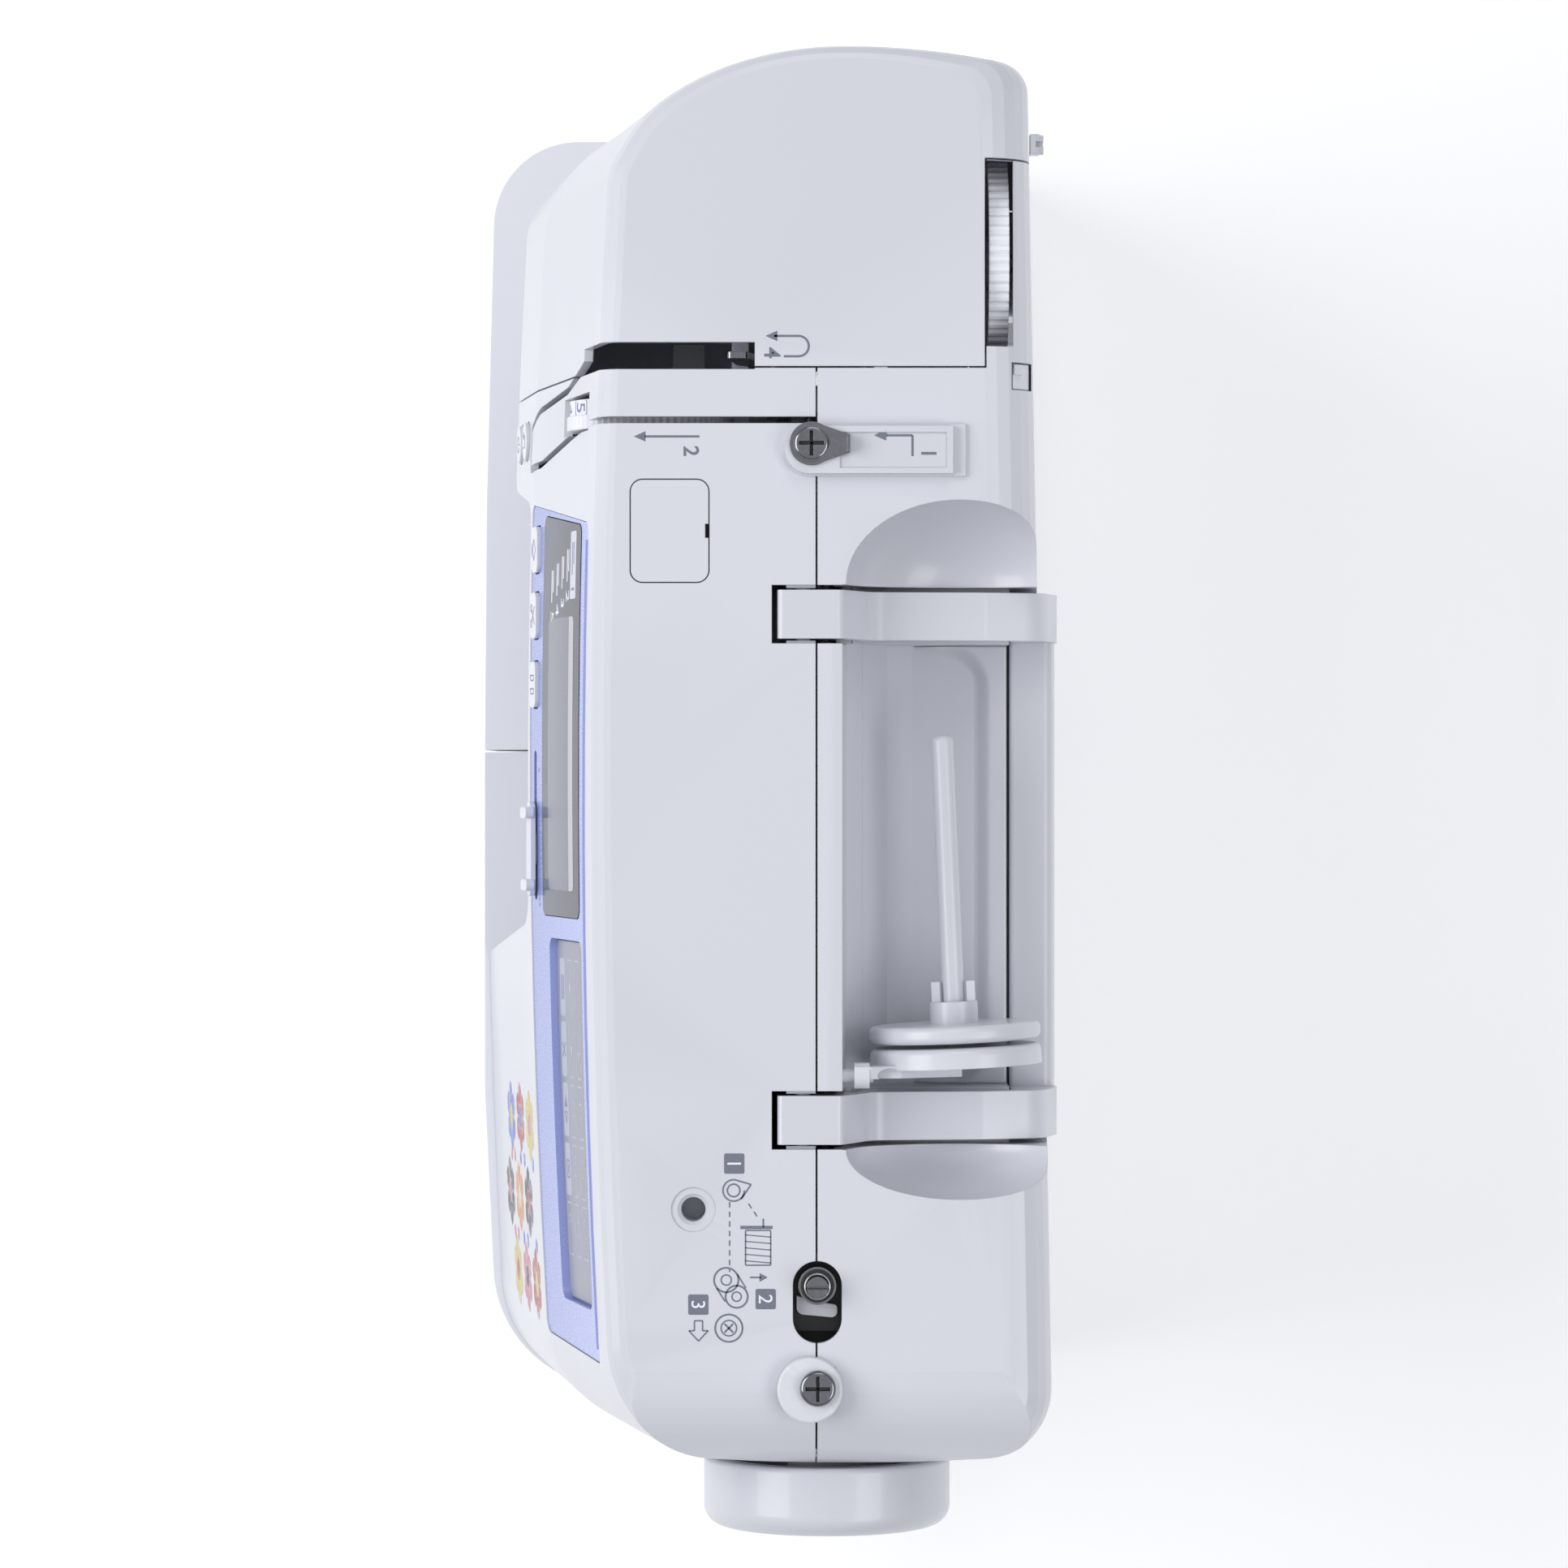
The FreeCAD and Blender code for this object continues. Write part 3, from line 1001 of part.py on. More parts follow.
def lower_pulley():
    rims = [(TIMING_X[0] - 1.0, TIMING_X[0]), (TIMING_X[1], TIMING_X[1] + 1.0)]
    wheel = fuse([rod("x", LOWER_Y, LOWER_Z, TIMING_X, TIMING_R),
                  *[rod("x", LOWER_Y, LOWER_Z, rim, TIMING_R + 2.0) for rim in rims]])
    return wheel.cut(rod("x", LOWER_Y, LOWER_Z, (90, 120), LOWER_R))


def rotary_hook():
    """Open steel cup on a vertical shaft, driven by its small gear."""
    low, high = HOOK_Z
    cup = rod("z", NEEDLE_X, HOOK_Y, (low, high - 2.6), HOOK_R).cut(
        rod("z", NEEDLE_X, HOOK_Y, (low + 2, high + 1), HOOK_R - 1.5))
    shaft = rod("z", NEEDLE_X, HOOK_Y, (43.2, low + 1), 2.5)
    gear = rod("z", NEEDLE_X, HOOK_Y, (45.0, 54.0), HOOK_GEAR_R)
    point = slab("xy", [(NEEDLE_X + 12.5, HOOK_Y - 3), (NEEDLE_X + 17.5, HOOK_Y - 3),
                        (NEEDLE_X + 15.5, HOOK_Y + 6), (NEEDLE_X + 14.6, HOOK_Y + 6)], (69, 72.4))
    point = point.common(tube("z", NEEDLE_X, HOOK_Y, (60, 80), HOOK_R, HOOK_R - 1.5))
    return fuse([cup, shaft, gear, point])


def bobbin_holder():
    low, high = HOOK_Z[0] + 2.6, BED_TOP - 2.5
    cup = rod("z", NEEDLE_X, HOOK_Y, (low, high), HOOK_R - 2.2).cut(
        rod("z", NEEDLE_X, HOOK_Y, (low + 1.0, high + 1), HOOK_R - 3.2))
    post = rod("z", NEEDLE_X, HOOK_Y, (low, high - 3), 2.8)
    return fuse([cup, post])


def bobbin():
    low, high = HOOK_Z[0] + 3.9, BED_TOP - 3.2
    disc = 10.4
    body = fuse([rod("z", NEEDLE_X, HOOK_Y, (low, low + 1.0), disc),
                 rod("z", NEEDLE_X, HOOK_Y, (high - 1.0, high), disc),
                 rod("z", NEEDLE_X, HOOK_Y, (low, high), 4.6)])
    return body.cut(rod("z", NEEDLE_X, HOOK_Y, (low - 1, high + 1), 2.8 + FIT))


def hook_bearing():
    """Bearing arm of the hook shaft."""
    x0 = NEEDLE_X - 17
    arm = box((x0, NEEDLE_X + 6), (HOOK_Y - 10, HOOK_Y - 6), (42, 57))
    link = box((x0, x0 + 3), (HOOK_Y - 10, -4), (42, 57))
    shelf = box((NEEDLE_X - 6, NEEDLE_X + 6), (HOOK_Y - 10, HOOK_Y + 4), (54.6, 57))
    return fuse([arm, link, shelf]).cut(rod("z", NEEDLE_X, HOOK_Y, (40, 60), 2.5 + FIT))


def needle_bar():
    return rod("z", NEEDLE_X, NEEDLE_Y, (118, 270), NEEDLE_BAR_R)


def needle_bar_stud():
    """Clamp that joins the needle bar to the connecting rod."""
    y, z = rod_foot()
    block = box((NEEDLE_X - 5.5, NEEDLE_X + 5.5), (y - 5.0, y + 5.5), (z - 5, z + 5))
    arm = box((NEEDLE_X + 5, ROD_X[0] - 0.6), (y - 3.5, y + 3.5), (z - 4, z + 4))
    return fuse([block, arm]).cut(rod("z", NEEDLE_X, NEEDLE_Y, (200, 240), NEEDLE_BAR_R))


def needle_bar_clamps():
    return Part.makeCompound([needle_clamp(), needle_bar_stud()])


def needle_clamp():
    clamp = rod("z", NEEDLE_X, NEEDLE_Y, (116, 126), 4.6)
    screw = rod("x", NEEDLE_Y, 121, (NEEDLE_X + 3, NEEDLE_X + 10), 2.6)
    return fuse([clamp, screw]).cut(rod("z", NEEDLE_X, NEEDLE_Y, (117.9, 130), NEEDLE_BAR_R)).cut(
        rod("z", NEEDLE_X, NEEDLE_Y, (110, 119), 1.0))


def needle():
    shank = rod("z", NEEDLE_X, NEEDLE_Y, (110, 117.9), 1.0)
    blade = rod("z", NEEDLE_X, NEEDLE_Y, (NEEDLE_TIP_Z + 4, 111), 0.55)
    tip = Part.makeCone(0.05, 0.55, 4.0, V(NEEDLE_X, NEEDLE_Y, NEEDLE_TIP_Z))
    eye = rod("y", NEEDLE_X, NEEDLE_TIP_Z + 5.5, (NEEDLE_Y - 2, NEEDLE_Y + 2), 0.28)
    return fuse([shank, blade, tip]).cut(eye)


def presser_bar():
    bar = rod("z", NEEDLE_X, PRESSER_Y, (96, 244), PRESSER_BAR_R)
    collar = box((NEEDLE_X - 5, NEEDLE_X + 5), (PRESSER_Y - 4.5, PRESSER_Y + 9), (164, 170))
    return fuse([bar, collar])


def presser_foot():
    """Ankle, snap-on holder and sole with its two toes."""
    ankle = box((NEEDLE_X - 4, NEEDLE_X + 4), (PRESSER_Y - 5, PRESSER_Y + 5), (90, 103)).cut(
        rod("z", NEEDLE_X, PRESSER_Y, (95.9, 110), PRESSER_BAR_R))
    shank = slab("yz", [(PRESSER_Y - 4, 92), (PRESSER_Y + 4, 92), (PRESSER_Y - 1, 83, 1.0),
                        (PRESSER_Y - 6, 83, 1.0)], (NEEDLE_X - 3, NEEDLE_X + 3))
    bar = rod("x", PRESSER_Y - 5, 83.4, (NEEDLE_X - 8.5, NEEDLE_X + 8.5), 1.3)
    ears = [box((x, x + 1.6), (PRESSER_Y - 8, PRESSER_Y - 2), (80.4, 84.8))
            for x in (NEEDLE_X - 8.5, NEEDLE_X + 6.9)]
    sole = slab("yz", [(PRESSER_Y + 4, FOOT_SOLE_Z), (PRESSER_Y + 4, 81.2), (2.4, 81.2),
                       (-1.0, 83.4), (-1.8, 82.2), (1.8, FOOT_SOLE_Z)],
                (NEEDLE_X - 9.5, NEEDLE_X + 9.5))
    slot = slab("xy", rounded((NEEDLE_X - 4.6, NEEDLE_X + 4.6), (NEEDLE_Y - 1.6, NEEDLE_Y + 1.6),
                              1.5), (70, 90))
    throat = box((NEEDLE_X - 1.2, NEEDLE_X + 1.2), (-12, NEEDLE_Y), (70, 90))
    screw = rod("x", PRESSER_Y, 99, (NEEDLE_X - 10, NEEDLE_X - 4), 3.0)
    return fuse([ankle, shank, bar, *ears, sole.cut(slot).cut(throat), screw])


def presser_lifter():
    """Lever at the rear of the head that raises the presser bar."""
    y, z = LIFTER
    cam = rod("x", y, z, (-138.5, -131.5), 7.0)
    lever = slab("yz", [(y, z - 6), (y, z + 6), (y + 24, z + 2), (y + 35, z - 8, 3),
                        (y + 32, z - 15, 3), (y + 21, z - 6)], (-138, -132))
    return fuse([cam, lever]).cut(rod("x", y, z, (-150, -120), 2.5 + FIT))


def lifter_pin():
    """Pivot of the lifter lever, with the strut that carries it on the lower bracket."""
    y, z = LIFTER
    pin = rod("x", y, z, (-141.0, -126.0), 2.5)
    strut = slab("yz", [(24, 157), (33, 157), (y + 5, z - 4), (y + 5, z + 5), (y - 4, z + 5)],
                 (-129.0, -126.0))
    return fuse([pin, strut])


def take_up_lever():
    """Flat steel lever whose eye shows in the slot in the top of the head."""
    y, z = TAKE_UP
    arm = slab("yz", [(y - 3, z - 2), (y + 4, z + 2), (2, 262, 10), (-2.6, 284.4, 1.2),
                      (-8.2, 284.4, 1.2), (-5.5, 258, 10)], (-120.6, -118.8))
    boss = rod("x", y, z, (-121.4, -118.4), 5.0)
    eye = rod("x", -5.6, 281.2, (-125, -115), 0.9)
    return fuse([arm, boss]).cut(rod("x", y, z, (-125, -115), 2.0 + FIT)).cut(eye)


def motor():
    body = rod("x", MOTOR_Y, MOTOR_Z, (124, 149.8), MOTOR_R)
    boss = rod("x", MOTOR_Y, MOTOR_Z, (121.4, 124.5), 8.0)
    feet = [box((146, 149.8), (MOTOR_Y - 27, MOTOR_Y + 20), (z, z + 7)) for z in (87, 130)]
    return fuse([body, boss, *feet]).cut(rod("x", MOTOR_Y, MOTOR_Z, (119, 140), 2.5 + FIT))


def motor_pulley():
    wheel = rod("x", MOTOR_Y, MOTOR_Z, BELT_X, MOTOR_PULLEY_R)
    rims = [rod("x", MOTOR_Y, MOTOR_Z, span, MOTOR_PULLEY_R + 2.4)
            for span in ((BELT_X[0] - 1, BELT_X[0]), (BELT_X[1], BELT_X[1] + 1))]
    return fuse([wheel, *rims, rod("x", MOTOR_Y, MOTOR_Z, (BELT_X[0] - 2, 139), 2.5)])


def drive_belts():
    """Motor belt and timing belt, each between the side flanges of its pulleys."""
    shaft = (SHAFT_Y, SHAFT_Z)
    return Part.makeCompound([
        belt(shaft, PULLEY_R + GAP, (MOTOR_Y, MOTOR_Z), MOTOR_PULLEY_R + GAP,
             (BELT_X[0] + 0.4, BELT_X[1] - 0.4), 1.6),
        belt(shaft, TIMING_R + GAP, (LOWER_Y, LOWER_Z), TIMING_R + GAP,
             (TIMING_X[0] + 0.4, TIMING_X[1] - 0.4), 1.6),
    ])


def control_board():
    """Circuit board beside the far pillar, with its larger components."""
    board = box((70, 149.7), (-57.0, -55.4), (88, 176))
    parts = [box((78, 92), (-55.4, -50), (100, 114)), box((100, 112), (-55.4, -48), (104, 112)),
             rod("y", 84, 134, (-55.4, -42), 6.0), rod("y", 100, 134, (-55.4, -42), 6.0),
             box((116, 136), (-55.4, -45), (146, 166)), box((78, 104), (-55.4, -52), (156, 172))]
    return fuse([board, *parts])


def tension_dial():
    """Number drum beside a milled rim, on its own axle."""
    start, step, end = TENSION_X
    drum = rod("x", TENSION_Y, TENSION_Z, (start, step), TENSION_R - 0.8)
    count = 72
    rim = []
    for i in range(count):
        turn = 2 * math.pi * i / count
        half = math.pi / count
        rim.append((TENSION_Y + (TENSION_R - 0.7) * math.cos(turn),
                    TENSION_Z + (TENSION_R - 0.7) * math.sin(turn)))
        rim.append((TENSION_Y + TENSION_R * math.cos(turn + half),
                    TENSION_Z + TENSION_R * math.sin(turn + half)))
    wheel = slab("yz", rim, (step - 0.1, end))
    hollow = tube("x", TENSION_Y, TENSION_Z, (start - 1, step), TENSION_R - 4, 7.0)
    return fuse([drum, wheel]).cut(hollow).cut(
        rod("x", TENSION_Y, TENSION_Z, (-120, -90), 2.5 + FIT))


def tension_axle():
    """Fixed axle of the tension dial with its strut on the head plate."""
    axle = rod("x", TENSION_Y, TENSION_Z, (-111.0, -95.0), 2.5)
    strut = slab("yz", [(TENSION_Y - 5, TENSION_Z - 6), (TENSION_Y - 5, TENSION_Z + 5),
                        (TENSION_Y + 6, TENSION_Z + 5), (4, 236), (4, 224), (-2.7, 222)],
                 (-96.5, -92.6))
    return fuse([axle, strut])


def pressure_dial():
    """Ribbed foot-pressure wheel that shows in the rear slot of the head."""
    y0, y1 = PRESSURE_Y
    count = 68
    rim = []
    for i in range(count):
        for part, radius in ((0.0, 0.8), (0.3, 0.0), (0.7, 0.0), (0.999, 0.8)):
            turn = 2 * math.pi * (i + part) / count
            rim.append((PRESSURE_X + (PRESSURE_R - radius) * math.cos(turn),
                        PRESSURE_Z + (PRESSURE_R - radius) * math.sin(turn)))
    wheel = slab("xz", rim, (y0, y1))
    hollow = tube("y", PRESSURE_X, PRESSURE_Z, (y0 - 1, y1 - 2), PRESSURE_R - 4, 7.0)
    return wheel.cut(hollow).cut(rod("y", PRESSURE_X, PRESSURE_Z, (40, 80), 2.5 + FIT))


def pressure_axle():
    axle = rod("y", PRESSURE_X, PRESSURE_Z, (57.0, 71.0), 2.5)
    strut = box((PRESSURE_X - 6, PRESSURE_X + 6), (57.0, 60.6), (SHAFT_Z - 15, PRESSURE_Z + 6))
    foot = box((PRESSURE_X - 6, PRESSURE_X + 15), (36.5, 60.6), (SHAFT_Z - 25, SHAFT_Z - 15))
    return fuse([axle, strut, foot])


def head_lamp():
    lens = box((-177.6, -156.4), (-13.6, 15.6), (HEAD_UNDER - 1.0, HEAD_UNDER + 4.0))
    flange = box((-180, -154), (-16, 18), (HEAD_UNDER + WALL + GAP, HEAD_UNDER + 5.0))
    return fuse([lens, flange])


NODES = {
    "front_panel": front_panel, "lcd_window": lcd_window, "keypad_film": keypad_film,
    "pattern_key": lambda: panel_key(PANEL_KEYS[0], PANEL_KEY_Z),
    "thread_trim_key": lambda: panel_key(PANEL_KEYS[1], PANEL_KEY_Z),
    "needle_up_key": lambda: panel_key(PANEL_KEYS[2], PANEL_KEY_Z),
    "speed_slider": speed_slider,
    "start_stop_key": lambda: round_key(ROUND_KEYS[0]),
    "reverse_key": lambda: round_key(ROUND_KEYS[1]),
    "access_cover": access_cover,
    "guide_pad": guide_pad, "guide_plate": guide_plate, "cover_screws": cover_screws,
    "winder_stopper": winder_stopper, "winder_bracket": winder_bracket,
    "winder_carriage": winder_carriage, "winder_spindle": winder_spindle,
    "carrying_handle": carrying_handle, "spool_pin": spool_pin, "spool_holder": spool_holder,
    "thread_hook": thread_hook,
    "base_pan": base_pan, "rubber_feet": rubber_feet, "bed_housing": bed_housing,
    "power_inlet": power_inlet, "power_switch": power_switch,
    "needle_plate": needle_plate, "feed_dog": feed_dog, "hook_cover": hook_cover,
    "cover_release": cover_release, "extension_table": extension_table,
    "accessory_lid": accessory_lid,
    "chassis_frame": chassis_frame, "shaft_bushes": shaft_bushes,
    "upper_shaft": upper_shaft, "shaft_pulleys": shaft_pulleys, "handwheel": handwheel,
    "connecting_rod": connecting_rod, "lower_shaft": lower_shaft,
    "rotary_hook": rotary_hook, "bobbin_holder": bobbin_holder, "bobbin": bobbin,
    "needle_bar": needle_bar, "needle_bar_clamps": needle_bar_clamps, "needle": needle,
    "presser_bar": presser_bar, "presser_foot": presser_foot,
    "presser_lifter": presser_lifter, "take_up_lever": take_up_lever,
    "motor": motor, "motor_pulley": motor_pulley, "drive_belts": drive_belts,
    "control_board": control_board,
    "tension_dial": tension_dial, "pressure_dial": pressure_dial, "head_lamp": head_lamp,
}


def write(name, shape):
    """One STEP file for one node."""
    shape.exportStep(os.path.join("parts", name + ".step"))


if __name__ == "__main__":
    os.makedirs("parts", exist_ok=True)
    for name, shape in covers().items():
        write(name, shape)
    for name, make in NODES.items():
        write(name, make())
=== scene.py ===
# %% [markdown]
# # A household sewing machine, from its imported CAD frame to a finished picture
#
# The machine is a white, free-arm sewing machine with an electronic stitch panel. The shapes of
# its covers, dials and mechanism already exist as CAD nodes. This lesson gives each of them a
# finish, adds the printed marks, the small wire and thread parts, and sets up a plain studio
# around it. Everything is in metres, so sizes that are easier to read in millimetres go through
# `MM`.

# %% Load the frame
import math
import bmesh
import bpy
from mathutils import Matrix, Vector
from mathutils.bvhtree import BVHTree


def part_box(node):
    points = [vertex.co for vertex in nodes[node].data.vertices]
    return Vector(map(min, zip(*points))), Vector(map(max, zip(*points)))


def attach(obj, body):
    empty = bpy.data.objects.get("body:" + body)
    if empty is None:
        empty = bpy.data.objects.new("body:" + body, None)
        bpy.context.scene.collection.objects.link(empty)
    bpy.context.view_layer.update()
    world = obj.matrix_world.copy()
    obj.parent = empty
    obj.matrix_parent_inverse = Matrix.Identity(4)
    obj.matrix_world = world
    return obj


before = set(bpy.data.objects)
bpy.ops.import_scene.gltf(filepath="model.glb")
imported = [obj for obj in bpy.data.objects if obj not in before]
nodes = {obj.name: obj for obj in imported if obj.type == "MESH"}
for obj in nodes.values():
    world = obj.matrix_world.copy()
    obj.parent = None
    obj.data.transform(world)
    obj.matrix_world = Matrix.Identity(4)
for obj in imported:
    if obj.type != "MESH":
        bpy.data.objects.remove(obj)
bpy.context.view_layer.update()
MM = 0.001


def box_mm(name):
    """The two corners of a node's box, in millimetres."""
    return [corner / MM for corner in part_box(name)]


# %% [markdown]
# ## The camera
#
# The machine is seen from straight above, with the needle head at the top of the picture and the
# operator's side at its left. A long lens from 1.8 m keeps the walls of the body almost upright,
# so that only a narrow strip of the leaning front shows.

# %% Camera
CAMERA_AT = (-0.0035, 0.0074, 1.8)
FOCAL_LENGTH, SENSOR_WIDTH = 128.5, 36.0  # both in millimetres
lens = bpy.data.cameras.new("overhead_camera")
lens.lens, lens.sensor_width = FOCAL_LENGTH, SENSOR_WIDTH
camera = bpy.data.objects.new("overhead_camera", lens)
camera.location = CAMERA_AT
camera.rotation_euler = (0.0, 0.0, math.radians(90))
bpy.context.scene.collection.objects.link(camera)
bpy.context.scene.camera = camera
print("camera height:", CAMERA_AT[2])

# %% [markdown]
# ## Words for the finishes
#
# A finish is a material made of nodes. Two small helpers keep the node trees readable. `Field`
# wraps the output of a node, so that ordinary Python sums such as `1 - mask` add the Math nodes
# they need. `Finish` owns one material: `node` adds any node with its settings first and its
# inputs after, and `mix` blends two colours, because a Math node would turn a colour grey. Some
# sockets share a name, so they are called by number, and the numbers are named first.

# %% Field and Finish
OBJECT, POINTINESS = 3, 7  # outputs of Texture Coordinate and Geometry
TURN_IN, SCALE_IN = 2, 3  # inputs of Mapping
MASK, FIRST, SECOND, MIXED = 0, 6, 7, 2  # sockets of a Mix node that blends colours
FACTOR = 1  # second output of a Brick texture


class Field:
    """The output of a node, as a value that Python's operators work on."""

    def __init__(self, finish, socket):
        self.finish, self.socket = finish, socket

    def maths(self, operation, *values):
        links = dict(enumerate(values))
        return self.finish.node("Math", {"operation": operation}, links)

    def __add__(self, other):
        return self.maths("ADD", self, other)

    def __mul__(self, other):
        return self.maths("MULTIPLY", self, other)

    def __sub__(self, other):
        return self.maths("SUBTRACT", self, other)

    def __rsub__(self, other):
        return self.maths("SUBTRACT", other, self)

    def __truediv__(self, other):
        return self.maths("DIVIDE", self, other)

    __radd__, __rmul__ = __add__, __mul__

    def over(self, limit):
        return self.maths("GREATER_THAN", self, limit)

    def under(self, limit):
        return self.maths("LESS_THAN", self, limit)

    def ramp(self, low, high):
        """0 below low, 1 above high and a smooth step between."""
        settings = {"interpolation_type": "SMOOTHSTEP"}
        return self.finish.node("MapRange", settings, {"Value": self, 1: low, 2: high})


class Finish:
    """One material on Blender's Principled shader."""

    def __init__(self, name, **constants):
        self.material = bpy.data.materials.new(name)
        self.material.use_nodes = True
        self.tree = self.material.node_tree
        self.shader = self.tree.nodes["Principled BSDF"]
        self.set(**constants)

    def set(self, **values):
        """Feeds inputs of the shader by name, such as base_color."""
        self.feed(self.shader, {k.replace("_", " ").title().replace("Ior", "IOR"): v
                                for k, v in values.items()})
        return self

    def feed(self, node, values):
        for key, value in values.items():
            if isinstance(value, Field):
                self.tree.links.new(value.socket, node.inputs[key])
            elif isinstance(value, tuple) and len(value) == 3 and node.inputs[key].type == "RGBA":
                node.inputs[key].default_value = (*value, 1.0)
            else:
                node.inputs[key].default_value = value

    def node(self, kind, settings=None, values=None, out=0):
        made = self.tree.nodes.new("ShaderNode" + kind)
        for key, value in (settings or {}).items():
            setattr(made, key, value)
        self.feed(made, values or {})
        return Field(self, made.outputs[out])

    def place(self):
        """Object coordinates: the same metres as the frame."""
        return self.node("TexCoord", out=OBJECT)

    def along(self, axis, start=0.0):
        """The coordinate along one axis, in metres, counted from start."""
        split = self.node("SeparateXYZ", values={0: self.place()}, out="xyz".index(axis))
        return split - start

    def noise(self, size, detail=2.0, stretch=(1.0, 1.0, 1.0)):
        """Cloudy noise whose lumps are about `size` metres across."""
        spread = self.node("Mapping", values={0: self.place(), SCALE_IN: stretch})
        values = {"Vector": spread, "Scale": 1.0 / size, "Detail": detail}
        return self.node("TexNoise", values=values)

    def wear(self, full):
        """0 on flat faces, rising to 1 on edges as sharp as full."""
        return self.node("NewGeometry", out=POINTINESS).ramp(0.52, full)

    def mix(self, mask, first, second):
        settings = {"data_type": "RGBA", "clamp_factor": True}
        return self.node("Mix", settings, {MASK: mask, FIRST: first, SECOND: second}, out=MIXED)

    def relief(self, height, depth, strength=1.0, edge=0.0003):
        """Bump of a given depth in metres, on edges that are rounded off in the light."""
        base = self.node("Bevel", {"samples": 4}, {"Radius": edge})
        values = {"Strength": strength, "Distance": depth, "Height": height, "Normal": base}
        return self.node("Bump", values=values)


print("finish helpers ready")

# %% [markdown]
# ## Moulded plastic
#
# Nearly every outside piece is injection-moulded plastic. Up close it is never one flat colour:
# the pigment drifts a little, the mould leaves a very fine eroded grain, and handling makes the
# gloss uneven. Sharp edges are also painted a little lighter, a painted highlight where they catch
# the light. One function makes all of these from a colour, a roughness, a clear coat and a drift.

# %% Plastics
SPECK, GRAIN = 0.0007, 0.00001  # width and depth of the mould's grain
PLASTIC_EDGE = 0.0004  # radius that moulded edges show in the light


def moulded(name, colour, rough, coat=0.0, drift=0.04):
    finish = Finish(name, roughness=rough, coat_weight=coat, coat_roughness=0.08, ior=1.49)
    cloud = finish.noise(0.09, 3.0)
    speck = finish.noise(SPECK)
    darker = tuple(c * (1 - drift) for c in colour)
    patch = finish.mix(cloud, darker, colour)
    # Painted highlight: sharp edges are painted lighter, as if they caught the light.
    painted_edge_highlight = finish.wear(0.6)
    lighter = tuple(min(1.0, c * 1.04 + 0.02) for c in colour)
    gloss = finish.noise(0.03, 2.0) * 0.07 + (speck * 0.04 + (rough - 0.055))
    return finish.set(base_color=finish.mix(painted_edge_highlight * 0.6, patch, lighter), roughness=gloss,
                      normal=finish.relief(speck, GRAIN, 0.6, PLASTIC_EDGE))


finishes = {
    "casing_white": moulded("casing_white", (0.63, 0.645, 0.70), 0.34, coat=0.25),
    "bed_white": moulded("bed_white", (0.80, 0.815, 0.87), 0.36, coat=0.2),
    "key_white": moulded("key_white", (0.70, 0.71, 0.76), 0.32, coat=0.2),
    "slider_grey": moulded("slider_grey", (0.72, 0.74, 0.80), 0.42),
    "dial_grey": moulded("dial_grey", (0.80, 0.81, 0.86), 0.4),
    "dark_plastic": moulded("dark_plastic", (0.028, 0.029, 0.032), 0.45, drift=0.15),
}
print("plastics:", sorted(finishes))

# %% [markdown]
# ## The panel finishes
#
# The operating panel is lavender plastic, painted lighter towards its upper edge as a painted
# highlight where its lip catches the light. The display is a sheet of smoked acrylic, glossy and
# darker towards its top. The keypad is a grey translucent film. All three change with height only,
# so the height in object coordinates drives the colour.

# %% Panel materials
panel_low, panel_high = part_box("front_panel")
display_low, display_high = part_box("lcd_window")
pad_low, pad_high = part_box("keypad_film")


def share_of_height(finish, low, high):
    """0 at the foot of a box and 1 at its top."""
    return finish.along("z", low.z) / (high.z - low.z)


def lavender():
    finish = Finish("panel_lavender", roughness=0.3, coat_weight=0.15, coat_roughness=0.06)
    rise = share_of_height(finish, panel_low, panel_high)
    pearl = finish.noise(0.0004, 1.0)
    # Painted highlight: the lavender gets lighter towards the upper edge of the panel.
    colour = finish.mix(rise.ramp(0.0, 1.0), (0.24, 0.29, 0.64), (0.33, 0.38, 0.74))
    colour = finish.mix(pearl * 0.15, colour, (0.62, 0.66, 0.94))
    return finish.set(base_color=colour, roughness=pearl * 0.06 + 0.24,
                      normal=finish.relief(pearl, 0.000006, 0.5))


def smoked_glass():
    finish = Finish("display_dark", roughness=0.12, ior=1.2)
    rise = share_of_height(finish, display_low, display_high)
    haze = finish.noise(0.02, 2.0)
    colour = finish.mix(rise.ramp(0.1, 0.95), (0.07, 0.085, 0.12), (0.024, 0.03, 0.046))
    return finish.set(base_color=finish.mix(haze * 0.2, colour, (0.10, 0.115, 0.15)),
                      roughness=haze * 0.08 + 0.08, normal=finish.relief(haze, 0.000004, 0.2))


def film():
    finish = Finish("keypad_film", roughness=0.3, ior=1.42)
    rise = share_of_height(finish, pad_low, pad_high)
    weave = finish.noise(0.0006, 1.0)
    colour = finish.mix(rise.ramp(0.0, 1.0), (0.30, 0.315, 0.37), (0.23, 0.245, 0.29))
    return finish.set(base_color=finish.mix(weave * 0.2, colour, (0.42, 0.44, 0.52)),
                      roughness=weave * 0.1 + 0.26, normal=finish.relief(weave, 0.00001, 0.4))


finishes.update(panel_lavender=lavender(), display_dark=smoked_glass(), keypad_film=film())
print("panel finishes done")

# %% [markdown]
# ## Metals
#
# The metals differ in how they were made. Turned and plated screws are smooth with faint rings,
# ground steel has long scratches along one axis, cast aluminium is lumpy and dull, and a sintered
# bush is speckled with pores. Stretched noise makes scratches, small round noise makes pores.

# %% Metals
METAL_EDGE = 0.0002


def metal(name, colour, rough, size, stretch=(1, 1, 1), depth=0.000008, drift=0.25):
    finish = Finish(name, metallic=1.0, roughness=rough)
    marks = finish.noise(size, 3.0, stretch)
    stain = finish.noise(0.02, 2.0)
    dark = tuple(c * (1 - drift) for c in colour)
    return finish.set(base_color=finish.mix(marks * 0.5 + stain * 0.4, dark, colour),
                      roughness=marks * 0.12 + (rough - 0.06),
                      normal=finish.relief(marks, depth, 0.5, METAL_EDGE))


